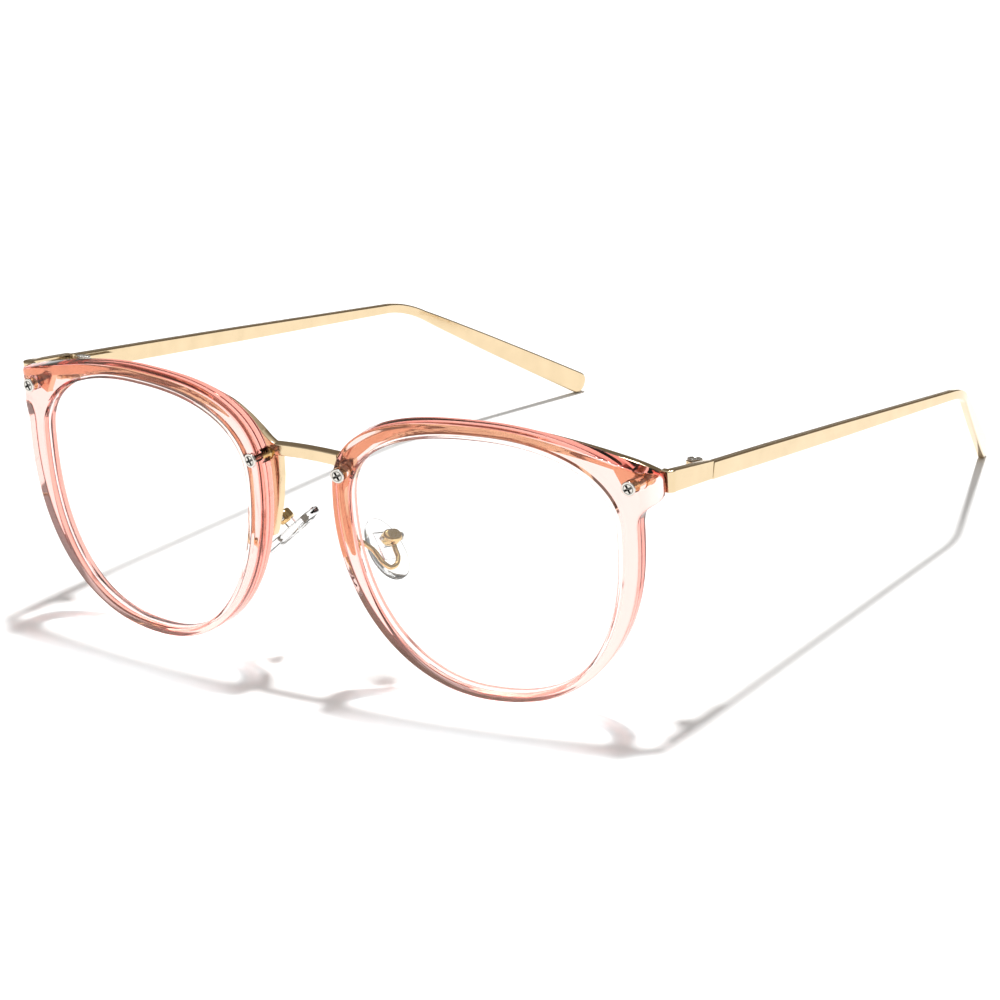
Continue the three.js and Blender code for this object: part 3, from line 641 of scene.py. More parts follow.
class ShapeTree:
    # a geometry tree with named inputs, set on a modifier by their identifiers
    def __init__(self, name, **inputs):
        self.tree = bpy.data.node_groups.new(name, "GeometryNodeTree")
        face = self.tree.interface
        face.new_socket("Geometry", in_out="INPUT", socket_type="NodeSocketGeometry")
        self.ids = {label: face.new_socket(label, in_out="INPUT", socket_type="NodeSocket" + kind).identifier
                    for label, kind in inputs.items()}
        face.new_socket("Geometry", in_out="OUTPUT", socket_type="NodeSocketGeometry")
        self.start, self.end = self.add("NodeGroupInput"), self.add("NodeGroupOutput")
        self.link = self.tree.links.new

    def add(self, kind, **values):
        return addNode(self.tree, kind, **values)

    def named(self, name, kind="FLOAT"):
        return self.add("GeometryNodeInputNamedAttribute", data_type=kind, Name=name).outputs["Attribute"]

    def maths(self, operation, a, b=None):
        node = self.add("ShaderNodeMath", operation=operation)
        for socket, value in zip(node.inputs, (a, b)):
            if isinstance(value, (int, float)):
                socket.default_value = value
            elif value is not None:
                self.link(value, socket)
        return node.outputs[0]

    def vector(self, operation, a, b=None, scale=None):
        node = self.add("ShaderNodeVectorMath", operation=operation)
        for socket, value in ((0, a), (1, b), ("Scale", scale)):
            if value is not None:
                self.link(value, node.inputs[socket])
        return node.outputs[0]

    def close(self, source):
        # real geometry with the finish on it
        realize = self.add("GeometryNodeRealizeInstances")
        finish = self.add("GeometryNodeSetMaterial")
        self.link(source, realize.inputs[0])
        self.link(realize.outputs[0], finish.inputs["Geometry"])
        self.link(self.start.outputs["Finish"], finish.inputs["Material"])
        self.link(finish.outputs[0], self.end.inputs[0])

    def shape(self, obj, drop=(), **values):
        # the tree worked on obj with these inputs, turned to a plain mesh without its helper layers
        nodes = obj.modifiers.new("shape", "NODES")
        nodes.node_group = self.tree
        for label, value in values.items():
            nodes[self.ids[label]] = value
        made = bake(obj)
        for layer in drop:
            if layer in made.data.attributes:
                made.data.attributes.remove(made.data.attributes[layer])
        return made


def barTree():
    # points carry their own frame and size; the section's corners keep one radius
    t = ShapeTree("barAlongPath", Corner="Float", Points="Int", Finish="Material")
    toCurve = t.add("GeometryNodeMeshToCurve")
    t.link(t.start.outputs["Geometry"], toCurve.inputs["Mesh"])
    section = t.add("GeometryNodeCurvePrimitiveCircle", Radius=1)
    t.link(t.start.outputs["Points"], section.inputs["Resolution"])
    halfStep = t.add("GeometryNodeTransform")
    turn = t.add("ShaderNodeCombineXYZ")
    t.link(t.maths("DIVIDE", math.pi, t.start.outputs["Points"]), turn.inputs["Z"])
    t.link(section.outputs["Curve"], halfStep.inputs["Geometry"])
    t.link(turn.outputs[0], halfStep.inputs["Rotation"])
    keep = t.add("GeometryNodeStoreNamedAttribute", data_type="FLOAT_VECTOR", domain="POINT", Name="round")
    t.link(halfStep.outputs[0], keep.inputs["Geometry"])
    t.link(t.add("GeometryNodeInputPosition").outputs[0], keep.inputs["Value"])
    sweep = t.add("GeometryNodeCurveToMesh", Fill_Caps=True)
    t.link(toCurve.outputs[0], sweep.inputs["Curve"])
    t.link(keep.outputs[0], sweep.inputs["Profile Curve"])

    split = t.add("ShaderNodeSeparateXYZ")
    t.link(t.named("round", "FLOAT_VECTOR"), split.inputs[0])
    thinner = t.maths("MINIMUM", t.named("thick"), t.named("tall"))
    radius = t.maths("MINIMUM", t.start.outputs["Corner"], t.maths("MULTIPLY", thinner, 0.499))
    reach = []
    for axis, size in (("X", "thick"), ("Y", "tall")):
        flat = t.maths("SUBTRACT", t.maths("MULTIPLY", t.named(size), 0.5), radius)
        signed = t.maths("MULTIPLY", t.maths("SIGN", split.outputs[axis]), flat)
        reach.append(t.maths("ADD", signed, t.maths("MULTIPLY", split.outputs[axis], radius)))
    offset = t.vector("ADD", t.vector("SCALE", t.named("outward", "FLOAT_VECTOR"), scale=reach[0]),
                      t.vector("SCALE", t.named("upward", "FLOAT_VECTOR"), scale=reach[1]))
    move = t.add("GeometryNodeSetPosition")
    t.link(sweep.outputs[0], move.inputs["Geometry"])
    t.link(t.vector("ADD", t.named("spot", "FLOAT_VECTOR"), offset), move.inputs["Position"])
    t.close(move.outputs[0])
    return t


barNodes = barTree()


def bar(name, stations, corner, sectionPoints, material):
    # stations: (spot, outward, upward, thickness, height)
    obj = meshObject(name, [s[0] for s in stations], [], material,
                     [(i, i + 1) for i in range(len(stations) - 1)])
    for column, label in enumerate(("spot", "outward", "upward")):
        addLayer(obj.data, label, [c for s in stations for c in s[column]], "FLOAT_VECTOR")
    for column, label in ((3, "thick"), (4, "tall")):
        addLayer(obj.data, label, [s[column] for s in stations])
    return outward(barNodes.shape(obj, ("spot", "outward", "upward", "thick", "tall", "round"),
                                  Corner=corner, Points=sectionPoints, Finish=material))


# temples
templeBits = {
    "face": 3.7, "seam": 0.12, "bendAt": 96.5, "bendLong": 11,
    "drop": 22.22, "turn": 17.6, "corner": 0.34, "sectionPoints": 20,
    # along the bar: height, thickness
    "sizes": [(0, 3.15, 1.6), (20, 3.1, 1.6), (50, 2.75, 1.5), (75, 2.25, 1.45), (96.5, 1.85, 1.4),
              (107.5, 1.85, 1.4), (112, 2.35, 1.4), (125, 3.25, 1.4), (140, 3.95, 1.4), (151, 4.3, 1.4)],
    "roundFrom": 150.9, "roundLong": 2.1, "roundThin": 0.35, "roundLeast": 0.12,
    "endEase": 0.16, "endEaseLong": 0.3,
}
tb = templeBits


def sizeAt(s, column):
    table = tb["sizes"]
    for a, b in zip(table, table[1:]):
        if s <= b[0]:
            t = max((s - a[0]) / (b[0] - a[0]), 0)
            return a[column] + (b[column] - a[column]) * t
    return table[-1][column]


def templeStations():
    marks = [tb["seam"], tb["seam"] + 0.1, tb["seam"] + tb["endEaseLong"]]
    marks += [tb["bendAt"] * i / 24 for i in range(1, 25)]
    marks += [tb["bendAt"] + tb["bendLong"] * i / 16 for i in range(1, 17)]
    marks += [tb["bendAt"] + tb["bendLong"] + (tb["roundFrom"] - tb["bendAt"] - tb["bendLong"]) * i / 14
              for i in range(1, 15)]
    marks += [tb["roundFrom"] + tb["roundLong"] * math.sin(math.pi / 2 * i / 9) for i in range(1, 10)]
    stations = []
    p = Vector((tb["face"], marks[0], 0))
    before, dirBefore = marks[0], None
    for s in marks:
        t = min(max((s - tb["bendAt"]) / tb["bendLong"], 0), 1)
        drop, turn = math.radians(tb["drop"]) * t, math.radians(tb["turn"]) * t
        ahead = Vector((-math.sin(turn) * math.cos(drop), math.cos(turn) * math.cos(drop), -math.sin(drop)))
        if dirBefore is not None:
            p = p + (ahead + dirBefore).normalized() * (s - before)
        before, dirBefore = s, ahead
        out = Vector((math.cos(turn), math.sin(turn), 0))
        up = out.cross(ahead).normalized()
        tall, thick = sizeAt(s, 1), sizeAt(s, 2)
        if s > tb["roundFrom"]:                # the spatula's round end
            k = (s - tb["roundFrom"]) / tb["roundLong"]
            tall *= max(math.sqrt(max(1 - k * k, 0)), tb["roundLeast"])
            thick *= 1 - tb["roundThin"] * k ** 3
        easeEnd = min(max((s - tb["seam"]) / tb["endEaseLong"], 0), 1)
        inset = tb["endEase"] * (1 - math.sqrt(1 - (1 - easeEnd) ** 2))
        stations.append((p - out * thick / 2, out, up, thick - 2 * inset, tall - 2 * inset))
    return stations


temple = bar("temple", templeStations(), tb["corner"], tb["sectionPoints"], gold)
temple = soften(place(temple, templeFrame), 40)
pair(temple, "temple")


# plates cut from flat outlines
def smoothThrough(points, each=8):
    # a smooth run through the points
    pts = [Vector(p) for p in points]
    pts = [pts[0]] + pts + [pts[-1]]
    out = []
    for i in range(1, len(pts) - 2):
        a, b, c, d = pts[i - 1], pts[i], pts[i + 1], pts[i + 2]
        for k in range(each):
            t = k / each
            out.append(0.5 * ((2 * b) + (c - a) * t + (2 * a - 5 * b + 4 * c - d) * t * t
                              + (3 * b - a - 3 * c + d) * t ** 3))
    out.append(pts[-2])
    return [tuple(p) for p in out]


def cutPlate(name, outlinePoints, low, thick, bevel, material, holes=()):
    # outline in the piece's (u, v), thickness along y from low
    data = bpy.data.curves.new(name, "CURVE")
    data.dimensions = "2D"
    data.fill_mode = "BOTH"
    data.extrude = thick / 2 - bevel
    data.bevel_depth = bevel
    data.bevel_resolution = 3
    data.offset = -bevel
    for run in [outlinePoints, *holes]:
        spline = data.splines.new("POLY")
        spline.points.add(len(run) - 1)
        for point, (u, v) in zip(spline.points, run):
            point.co = (u, v, 0, 1)
        spline.use_cyclic_u = True
    data.materials.append(material)
    made = bake(linked(name, data))
    made.data.transform(Matrix.Translation((0, low + thick / 2, 0)) @ Matrix.Rotation(math.pi / 2, 4, "X"))
    return outward(made)


def ringPoints(u, v, radius, count=32):
    return [(u + radius * math.cos(-2 * math.pi * i / count), v + radius * math.sin(-2 * math.pi * i / count))
            for i in range(count)]


browBits = {
    "low": 4.0, "thick": 1.5, "bevel": 0.16, "cornerRound": 0.5,
    "corner": [(67.3, 7.1), (67.3, 10.55), (64.9, 11.4)], "nasalEnd": (6.3, 5.4), "foot": (61.4, 7.1),
    "top": [(64.9, 11.4), (61.5, 12.3), (53.3, 13.95), (44, 15.3), (35.5, 15.7), (27, 15.3), (18.6, 13.75),
            (14.2, 11.9), (10.9, 9.8), (8.5, 8.0), (6.9, 7.3)],
    "strut": [(6.4, 1.5), (7.3, -4), (8.9, -9.2), (9.6, -10.3), (10.2, -9.6), (9.2, -4), (8.8, 1), (10, 3.4),
              (11, 5.3), (11.1, 7.4)],
    "under": [(15, 10.7), (19.5, 12.2), (27.5, 13.7), (35.5, 14), (44, 13.5), (53, 12.1), (59.5, 10.7)],
}
bb = browBits
browLine = (rounded(bb["corner"], bb["cornerRound"])[1:-1] + smoothThrough(bb["top"]) + [bb["nasalEnd"]]
            + smoothThrough(bb["strut"]) + smoothThrough(bb["under"]) + [bb["foot"]])
brow = cutPlate("browBar", browLine, bb["low"], bb["thick"], bb["bevel"], gold,
                [ringPoints(*spot, sb["bossRadius"] - sb["slack"]) for spot in sb["spots"].values()])
brow = soften(place(brow, rimFrame), 35)
pair(brow, "brow_bar")

bridgeBits = {"half": 6.6, "low": 5.4, "high": 7.5, "rise": 0.2, "hollow": 0.25, "front": 4.7, "thick": 1.9,
              "bevel": 0.14}
gb = bridgeBits
across = [1 - i / 12 for i in range(25)]
arch = [(gb["half"] * t, gb["high"] + gb["rise"] * (1 - t * t)) for t in across]
under = [(-gb["half"] * t, gb["low"] + gb["hollow"] * (1 - t * t)) for t in across]
bridge = cutPlate("bridge", arch + under, gb["front"], gb["thick"], gb["bevel"], gold)
bridge = soften(place(bridge, frontFrame), 35)
settle(bridge, "bridge_bar")

# end pieces turn the corner from the lug back to the seam
endBits = {"out": 68.4, "thick": 1.6, "tall": 3.9, "seamTall": 3.15, "cornerY": 14.8, "seamY": 26.66,
           "inner": 66.0, "lap": 1.35, "chamfer": 0.75, "cornerRound": 0.18, "straightTo": 20,
           "middle": 8.9, "lift": 0.15, "bevel": 0.22}
eb = endBits
armSlope = math.tan(math.radians(layout["templeSlope"] + layout["tilt"]))
frontY, inX = eb["cornerY"] - eb["lap"], eb["out"] - eb["thick"]
endLine = rounded([(eb["inner"], frontY + 0.5), (eb["inner"], frontY), (eb["out"] - eb["chamfer"], frontY),
                   (eb["out"], frontY + eb["chamfer"]), (eb["out"], eb["straightTo"]),
                   (eb["out"], eb["seamY"])], eb["cornerRound"], 3)
endLine += [(inX, eb["seamY"]), (inX, eb["straightTo"]), (inX, eb["cornerY"]), (eb["inner"], eb["cornerY"])]
endPiece = cutPlate("endPiece", endLine, 0, eb["tall"], eb["bevel"], gold)
endPiece.data.transform(Matrix.Rotation(-math.pi / 2, 4, "X") @ Matrix.Translation((0, -eb["tall"] / 2, 0)))
bm = bmesh.new()
bm.from_mesh(endPiece.data)
bmesh.ops.bisect_plane(bm, geom=bm.verts[:] + bm.edges[:] + bm.faces[:], dist=1e-6,
                       plane_co=(0, eb["cornerY"] + 0.01, 0), plane_no=(0, 1, 0))
for v in bm.verts:                             # narrows and slopes down along the temple's line
    t = min(max((v.co.y - eb["cornerY"]) / (eb["seamY"] - eb["cornerY"]), 0), 1)
    z = v.co.z * (1 + (eb["seamTall"] / eb["tall"] - 1) * t)
    v.co.y += z * armSlope * t
    v.co.z = z - max(0, v.co.y - z * armSlope * t - eb["cornerY"]) * armSlope
    v.co.z += eb["middle"] + eb["lift"] * t
bm.to_mesh(endPiece.data)
bm.free()
endPiece = soften(place(endPiece, frontFrame), 30)
pair(endPiece, "end_piece")


# fasteners: a node tree sets one shape at every spot
print("screws and bosses")


def fastenerTree():
    t = ShapeTree("fastenersAtSpots", Fastener="Object", Size="Float", Finish="Material")
    fastener = t.add("GeometryNodeObjectInfo")
    toRotation = t.add("FunctionNodeEulerToRotation")
    points = t.add("GeometryNodeMeshToPoints")
    spread = t.add("GeometryNodeInstanceOnPoints")
    t.link(t.start.outputs["Fastener"], fastener.inputs["Object"])
    t.link(t.start.outputs["Geometry"], points.inputs["Mesh"])
    t.link(points.outputs[0], spread.inputs["Points"])
    t.link(fastener.outputs["Geometry"], spread.inputs["Instance"])
    t.link(t.named("turn", "FLOAT_VECTOR"), toRotation.inputs[0])
    t.link(toRotation.outputs[0], spread.inputs["Rotation"])
    t.link(t.start.outputs["Size"], spread.inputs["Scale"])
    t.close(spread.outputs[0])
    return t


fastenerNodes = fastenerTree()


def atSpots(name, shape, spots, material):
    # shape in millimetres about its own Z axis; spots: (place, euler turn) in the shared frame
    obj = meshObject(name, [p for p, turn in spots], [], material)
    addLayer(obj.data, "turn", [c for p, turn in spots for c in turn], "FLOAT_VECTOR")
    made = fastenerNodes.shape(obj, ("turn",), Fastener=shape, Size=mm, Finish=material)
    bpy.data.objects.remove(shape)
    return made


def lathe(name, profile, around, material):
    # profile: (radius, height) from the axis, round and back to the axis
    verts, faces, rings = [], [], []
    for r, z in profile:
        if r < 1e-6:
            rings.append([len(verts)])
            verts.append((0, 0, z))
        else:
            rings.append([len(verts) + k for k in range(around)])
            verts += [(r * math.cos(2 * math.pi * k / around), r * math.sin(2 * math.pi * k / around), z)
                      for k in range(around)]
    for a, b in zip(rings, rings[1:]):
        for k in range(around):
            j = (k + 1) % around
            if len(a) == 1:
                faces.append((a[0], b[j], b[k]))
            elif len(b) == 1:
                faces.append((a[k], a[j], b[0]))
            else:
                faces.append((a[k], a[j], b[j], b[k]))
    return outward(meshObject(name, verts, faces, material))


def arcTo(centre, radius, fromAngle, toAngle, steps=5):
    angles = [math.radians(fromAngle + (toAngle - fromAngle) * i / steps) for i in range(steps + 1)]
    return [(centre[0] + radius * math.cos(a), centre[1] + radius * math.sin(a)) for a in angles]


def block(name, wide, deepY, tall, at, material, ease=0.0):
    bm = bmesh.new()
    bmesh.ops.create_cube(bm, size=1)
    bm.transform(Matrix.Translation(at) @ Matrix.Diagonal((wide, deepY, tall, 1)))
    if ease:
        bmesh.ops.bevel(bm, geom=bm.edges[:] + bm.verts[:], offset=ease, segments=3, profile=0.5,
                        affect="EDGES")
    return solid(name, bm, material)


# head with a rounded crown, a crossed recess that tapers in, and a shank below
headR, headLow, shank, shankEnd = sb["headRadius"], sb["headLow"], sb["shank"], sb["shankEnd"]
screwProfile = ([(0, shankEnd), (shank - 0.17, shankEnd), (shank, shankEnd + 0.2), (shank, headLow),
                 (0.9, headLow + 0.01), (headR - 0.08, headLow + 0.01)]
                + arcTo((headR - 0.16, 0.26), 0.16, -60, 70, 5)
                + arcTo((0, -8.08), 8.56, 82.9, 90, 8)[:-1] + [(0, 0.48)])
crossHead = lathe("crossHead", screwProfile, 64, steel)


def recess(turn):
    # one blade of the cross: wide at the crown, narrower at its foot
    bm = bmesh.new()
    bmesh.ops.create_cube(bm, size=1)
    for v in bm.verts:
        long, wide, height = sb["crossTop"] if v.co.z > 0 else sb["crossFoot"]
        v.co = (v.co.x * long, v.co.y * wide, height)
    bm.transform(Matrix.Rotation(turn, 4, "Z"))
    return solid("recess", bm)


crossHead = combine(crossHead, "DIFFERENCE", recess(sb["crossTurn"]),
                    recess(sb["crossTurn"] + math.pi / 2))
# the cross recess's faces, which the metal finish darkens with painted shade
addLayer(crossHead.data, "hollow", [
    1.0 if 0.05 < f.center.z < 0.44 and math.hypot(f.center.x, f.center.y) < 0.9 else 0.0
    for f in crossHead.data.polygons], domain="FACE")
crossHead = soften(crossHead, 28)


def rimSpot(u, v, depth, mirror):
    # a spot on the rim's plane, with the shape's Z axis pointing forward out of it
    flip = Matrix.Scale(-1, 4, (1, 0, 0)) if mirror else Matrix.Identity(4)
    at = flip @ rimFrame @ Vector((u, depth, v))
    z = ((flip @ rimFrame).to_3x3() @ Vector((0, -1, 0))).normalized()
    y = ((flip @ rimFrame).to_3x3() @ Vector((0, 0, 1))).normalized()
    return at, Matrix((y.cross(z), y, z)).transposed().to_euler()


rimSpots = [rimSpot(u, v, 0, mirror) for mirror in (False, True) for u, v in sb["spots"].values()]
rimScrews = atSpots("rimScrews", crossHead, rimSpots, steel)
settle(rimScrews, *[f"rim_screw_{spot}_{side}" for side in sides for spot in sb["spots"]])

# threaded bosses that the screws bite into, between the rim's face and the brow bar
bossBits = {"out": sb["bossRadius"], "bore": sb["boreRadius"], "front": sb["bossFront"], "back": 5.1,
            "ribs": 7, "ribFrom": 4.0, "ribDeep": 0.12}
ob = bossBits
out, ribOut = ob["out"], ob["out"] - ob["ribDeep"]
bossProfile = [(ob["bore"], -ob["back"]), (out - 0.1, -ob["back"]), (out, -ob["back"] + 0.1),
               (out, -ob["ribFrom"] - 0.1)]
ribStep = (ob["ribFrom"] - ob["front"]) / ob["ribs"]
for i in range(ob["ribs"]):
    z = -ob["ribFrom"] + ribStep * i
    bossProfile += [(ribOut, z + ribStep * 0.15), (out, z + ribStep * 0.45),
                    (out, z + ribStep * 0.65), (ribOut, z + ribStep * 0.95)]
bossProfile += [(out - 0.15, -ob["front"]), (ob["bore"], -ob["front"]), (ob["bore"], -ob["back"])]
boss = lathe("bossShape", bossProfile, 40, richGold)
boss = soften(boss, 24)
bosses = atSpots("rimBosses", boss, rimSpots, richGold)
settle(bosses, *[f"rim_boss_{spot}_{side}" for side in sides for spot in sb["spots"]])


# hinges
print("hinges")
hingeBits = {
    "stackLow": -1.975, "knuckle": 0.85, "gap": 0.3, "radius": 1.5, "bore": 0.68, "pin": 0.6,
    "leafIn": 2.05, "leafThick": 0.8, "ease": 0.12, "headRadius": 1.3, "headTall": 0.5,
    "teeth": 26, "toothDeep": 0.09, "slotLong": 1.9, "slotWide": 0.36, "slotDeep": 0.26,
    "tongueFrom": 0.9, "tongueLong": 2.4,
    # leaf length, height and place along the bar, then the tongue's place
    "frontLeaf": (6.4, 2.6, -5.1, -1.75), "backLeaf": (7.5, 2.3, 6.2, 1.7),
}
hb = hingeBits


def hingeHalf(name, lows, leafLong, leafTall, leafAt, tongueAt):
    leafIn, knuckle, tongueFrom = hb["leafIn"], hb["knuckle"], hb["tongueFrom"]
    leaf = block(name, hb["leafThick"], leafLong, leafTall,
                 (leafIn - hb["leafThick"] / 2, leafAt, -0.1), gold)
    parts = []
    for low in lows:
        parts.append(block("tongue", leafIn - tongueFrom, hb["tongueLong"], knuckle,
                           ((leafIn + tongueFrom) / 2, tongueAt, low + knuckle / 2), gold))
        parts.append(rod("knuckle", low, low + knuckle, hb["radius"], gold))
    half = combine(leaf, "UNION", *parts)
    half = combine(half, "DIFFERENCE", rod("bore", -5, 5, hb["bore"], gold))
    edges = half.modifiers.new("edges", "BEVEL")
    edges.width = hb["ease"]
    edges.segments = 2
    edges.limit_method = "ANGLE"
    edges.angle_limit = math.radians(40)
    return soften(bake(half), 35)


pitch = hb["knuckle"] + hb["gap"]
hingeFront = hingeHalf("hingeFront", [hb["stackLow"], hb["stackLow"] + 2 * pitch], *hb["frontLeaf"])
pair(place(hingeFront, hingeFrame), "hinge_front")
hingeBack = hingeHalf("hingeBack", [hb["stackLow"] + pitch], *hb["backLeaf"])
pair(place(hingeBack, templeFrame), "hinge_temple")


def knurlTree():
    # pushes a head's wall in and out round the axis, where the wall share says so
    t = ShapeTree("knurledWall", Teeth="Float", Depth="Float", Finish="Material")
    split = t.add("ShaderNodeSeparateXYZ")
    t.link(t.add("GeometryNodeInputPosition").outputs[0], split.inputs[0])
    angle = t.maths("ARCTAN2", split.outputs["Y"], split.outputs["X"])
    wave = t.maths("COSINE", t.maths("MULTIPLY", angle, t.start.outputs["Teeth"]))
    push = t.maths("MULTIPLY", t.maths("MULTIPLY", wave, t.start.outputs["Depth"]), t.named("wall"))
    flat = t.add("ShaderNodeCombineXYZ")
    t.link(split.outputs["X"], flat.inputs["X"])
    t.link(split.outputs["Y"], flat.inputs["Y"])
    move = t.add("GeometryNodeSetPosition")
    t.link(t.start.outputs["Geometry"], move.inputs["Geometry"])
    t.link(t.vector("SCALE", t.vector("NORMALIZE", flat.outputs[0]), scale=push), move.inputs["Offset"])
    t.close(move.outputs[0])
    return t


knurlNodes = knurlTree()
headFoot = hb["stackLow"] + 3 * hb["knuckle"] + 2 * hb["gap"] + 0.05
headTop = headFoot + hb["headTall"]
outR = hb["headRadius"] - hb["toothDeep"] / 2
pinProfile = [(0, hb["stackLow"] + 0.15), (0.42, hb["stackLow"] + 0.15), (hb["pin"], hb["stackLow"] + 0.33),
              (hb["pin"], headFoot), (outR - 0.12, headFoot), (outR, headFoot + 0.1), (outR, headTop - 0.14),
              (outR - 0.05, headTop - 0.05), (outR - 0.14, headTop), (outR - 0.34, headTop),
              (outR - 0.42, headTop - 0.05), (0.3, headTop - 0.03), (0, headTop - 0.03)]
pinHead = lathe("hingeScrew", pinProfile, hb["teeth"] * 8, steel)
addLayer(pinHead.data, "wall", [1.0 if math.hypot(v.co.x, v.co.y) > outR - 0.06 else 0.0
                                for v in pinHead.data.vertices])
pinHead = knurlNodes.shape(pinHead, ("wall",), Teeth=float(hb["teeth"]), Depth=hb["toothDeep"] / 2,
                           Finish=steel)
slot = block("slot", hb["slotLong"], hb["slotWide"], 2 * hb["slotDeep"], (0, 0, headTop), steel)
pinHead = combine(pinHead, "DIFFERENCE", slot)
pinHead = soften(pinHead, 30)
pair(place(pinHead, hingeFrame), "hinge_screw")


# nose supports
print("nose supports")
padBits = {
    "up": (-0.669, 0.331, 0.666), "nose": (-0.66, 0.149, -0.737), "spot": (10.0, 12.6, 21.5),
    "halfWide": 3.65, "halfLong": 6.25, "egg": 0.09, "blunt": 0.92, "around": 88,
    # toward the nose, and how far the oval is drawn in there
    "layers": [(-0.95, 0.8), (-0.9, 0.52), (-0.75, 0.2), (-0.55, 0.05), (-0.3, 0), (0, 0.03), (0.2, 0.1),
               (0.42, 0.32), (0.6, 0.7), (0.74, 1.15), (0.85, 1.6), (0.91, 2.1), (0.95, 2.6)],
    "core": (3.2, 0.6, 5.6), "coreIn": -0.3, "coreUp": 0.4, "pocket": 0.06,
    "stem": 1.5, "stemFrom": -3.4, "stemTo": -0.4, "stemUp": 0.7, "neckAt": -1.2, "neckLong": 2,
    "boxHalf": (1.8, 1.3), "boxRound": 1.24, "boxEndRound": 0.6, "boxFrom": -3.95, "boxTo": -1.75,
    "boxOut": -2.8, "mouthLong": 2.6, "mouthSlack": 0.6,
    "pin": 0.35, "pinHead": 0.75, "pinFrom": -2.3, "pinTo": 1.9, "slotWide": 0.2,
    "wire": 0.45,
    # across, toward the nose, up
    "wirePath": [(-6.6, -2.75, 0.9), (-5.5, -2.6, -0.1), (-4.5, -2.45, -1.2), (-4, -2.4, -2.6),
                 (-3.6, -2.4, -4), (-2.55, -2.35, -4.95), (-1.1, -2.35, -4.5), (-0.2, -2.45, -3.2),
                 (-0.1, -2.55, -1.8), (-0.1, -2.75, -0.8)],
}
pb = padBits
padUp = Vector(pb["up"]).normalized()
padNose = Vector(pb["nose"])
padNose = (padNose - padUp * padNose.dot(padUp)).normalized()
padAcross = padNose.cross(padUp)
spot = Vector(pb["spot"]) * mm
spot.y += tableY
padFrame = (Matrix.Translation(spot) @ Matrix((padAcross, padNose, padUp)).transposed().to_4x4()
            @ Matrix.Scale(mm, 4))


def ovalPoint(a, drawIn):
    wide = (pb["halfWide"] - drawIn) * (1 - pb["egg"] * math.sin(a))
    return (math.copysign(wide * abs(math.cos(a)) ** pb["blunt"], math.cos(a)),
            (pb["halfLong"] - drawIn) * math.sin(a))


padVerts = []
aroundPad = pb["around"]
for y, drawIn in pb["layers"]:
    oval = [ovalPoint(2 * math.pi * k / aroundPad, drawIn) for k in range(aroundPad)]
    padVerts += [(x, y, z) for x, z in oval]
pad = outward(meshObject("nosePad", padVerts, tubeFaces(len(pb["layers"]), aroundPad), silicone))
gapRoom = 2 * pb["pocket"]
neck = pb["stem"] + gapRoom
pocket = block("pocket", *[c + gapRoom for c in pb["core"]], (0, pb["coreIn"], pb["coreUp"]), silicone, 0.14)
pad = combine(pad, "DIFFERENCE", pocket,
              block("neck", neck, pb["neckLong"], neck, (0, pb["neckAt"], pb["stemUp"]), silicone))
pad = soften(pad, 40)
pair(place(pad, padFrame), "nose_pad")

core = block("padCore", *pb["core"], (0, pb["coreIn"], pb["coreUp"]), hardClear, 0.12)
stemLong = pb["stemTo"] - pb["stemFrom"]
stem = block("stem", pb["stem"], stemLong, pb["stem"], (0, pb["stemFrom"] + stemLong / 2, pb["stemUp"]),
             hardClear, 0.1)
pinFrame = Matrix.Translation((0, pb["boxOut"], pb["stemUp"])) @ Matrix.Rotation(math.pi / 2, 4, "Y")


def pinHole(slack, material):
    return place(rod("pinHole", -3, 3, pb["pin"] + slack, material, 40), pinFrame)


core = combine(core, "UNION", stem)
core = combine(core, "DIFFERENCE", pinHole(0.05, hardClear))
core = soften(core, 30)
pair(place(core, padFrame), "pad_core")

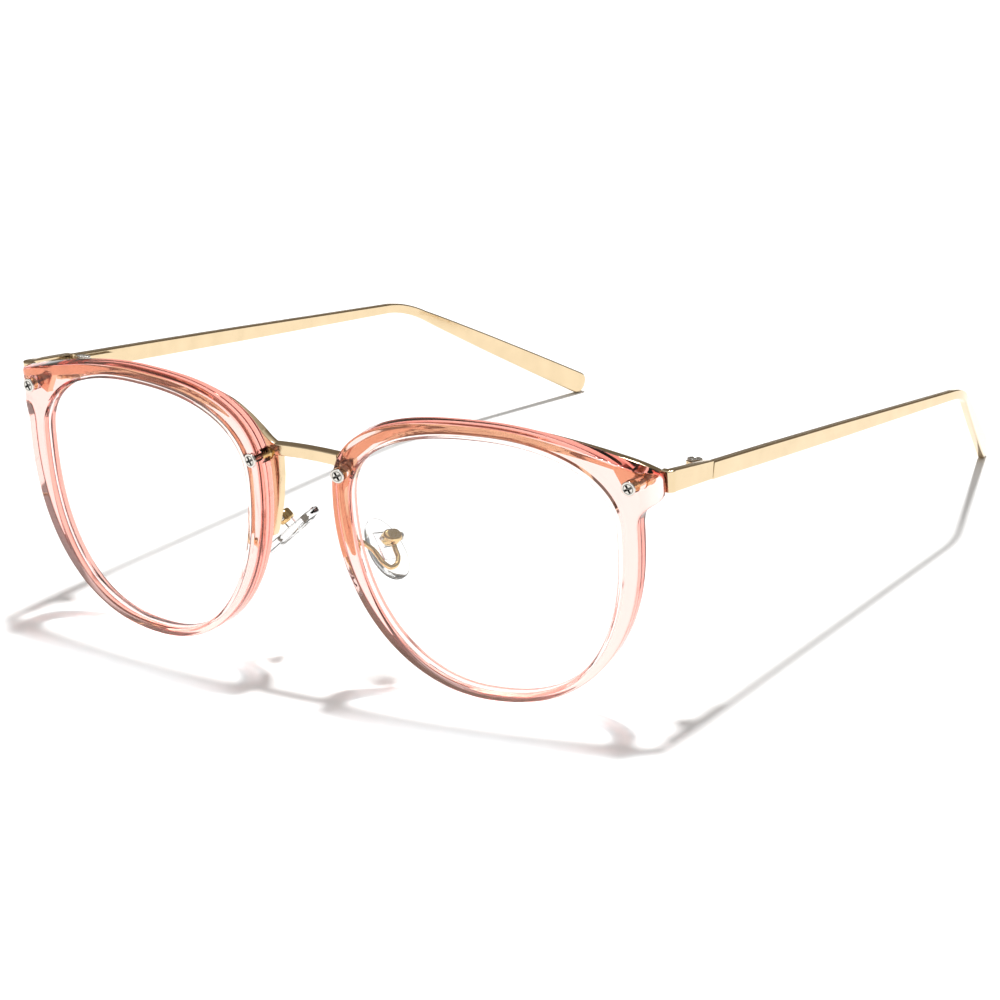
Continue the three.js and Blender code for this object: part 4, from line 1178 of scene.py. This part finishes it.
boxWide, boxTall = pb["boxHalf"]
boxDeep = pb["boxTo"] - pb["boxFrom"]
box = block("padBox", 2 * boxWide, boxDeep, 2 * boxTall, (0, pb["boxFrom"] + boxDeep / 2, pb["stemUp"]),
            richGold)
bm = bmesh.new()
bm.from_mesh(box.data)
alongY = [e for e in bm.edges if abs(e.verts[0].co.y - e.verts[1].co.y) > 0.5]
bmesh.ops.bevel(bm, geom=alongY, offset=pb["boxRound"], segments=8, profile=0.5, affect="EDGES")
endEdges = [e for e in bm.edges if abs(e.verts[0].co.y - e.verts[1].co.y) < 0.01 and len(e.link_faces) == 2
            and abs(e.link_faces[0].normal.dot(e.link_faces[1].normal)) < 0.5]
bmesh.ops.bevel(bm, geom=endEdges, offset=pb["boxEndRound"], segments=5, profile=0.5, affect="EDGES")
bm.to_mesh(box.data)
bm.free()
room = pb["stem"] + pb["mouthSlack"]
mouth = block("mouth", room, pb["mouthLong"], room, (0, pb["boxOut"] + 0.55, pb["stemUp"]), gold)
box = combine(box, "DIFFERENCE", mouth, pinHole(0.03, gold))
box = soften(box, 35)
pair(place(box, padFrame), "pad_box")

pin, head, foot, crown = pb["pin"], pb["pinHead"], pb["pinFrom"], pb["pinTo"]
pinLine = [(0, foot), (pin - 0.08, foot), (pin, foot + 0.1), (pin, crown), (head, crown)]
pinLine += [(head, crown + 0.25)] + arcTo((head - 0.3, crown + 0.25), 0.3, 0, 90) + [(0, crown + 0.55)]
padPin = lathe("padScrew", pinLine, 40, steel)
slot = block("slot", 2, pb["slotWide"], 0.5, (0, 0, crown + 0.55), steel)
padPin = combine(padPin, "DIFFERENCE", slot)
padPin = soften(padPin, 30)
pair(place(padPin, padFrame @ pinFrame), "pad_screw")


def wireStations(points, radius):
    # a frame that turns as little as it can along the wire
    line = [padFrame @ Vector(p) / mm for p in smoothThrough(points, 9)]
    stations, out = [], Vector((0, 1, 0))
    for i, p in enumerate(line):
        ahead = (line[min(i + 1, len(line) - 1)] - line[max(i - 1, 0)]).normalized()
        out = (out - ahead * out.dot(ahead)).normalized()
        stations.append((p, out, out.cross(ahead).normalized(), 2 * radius, 2 * radius))
    return stations


wire = bar("padArm", wireStations(pb["wirePath"], pb["wire"]), pb["wire"], 20, richGold)
wire = soften(place(wire, Matrix.Scale(mm, 4)), 50)
pair(wire, "pad_arm")
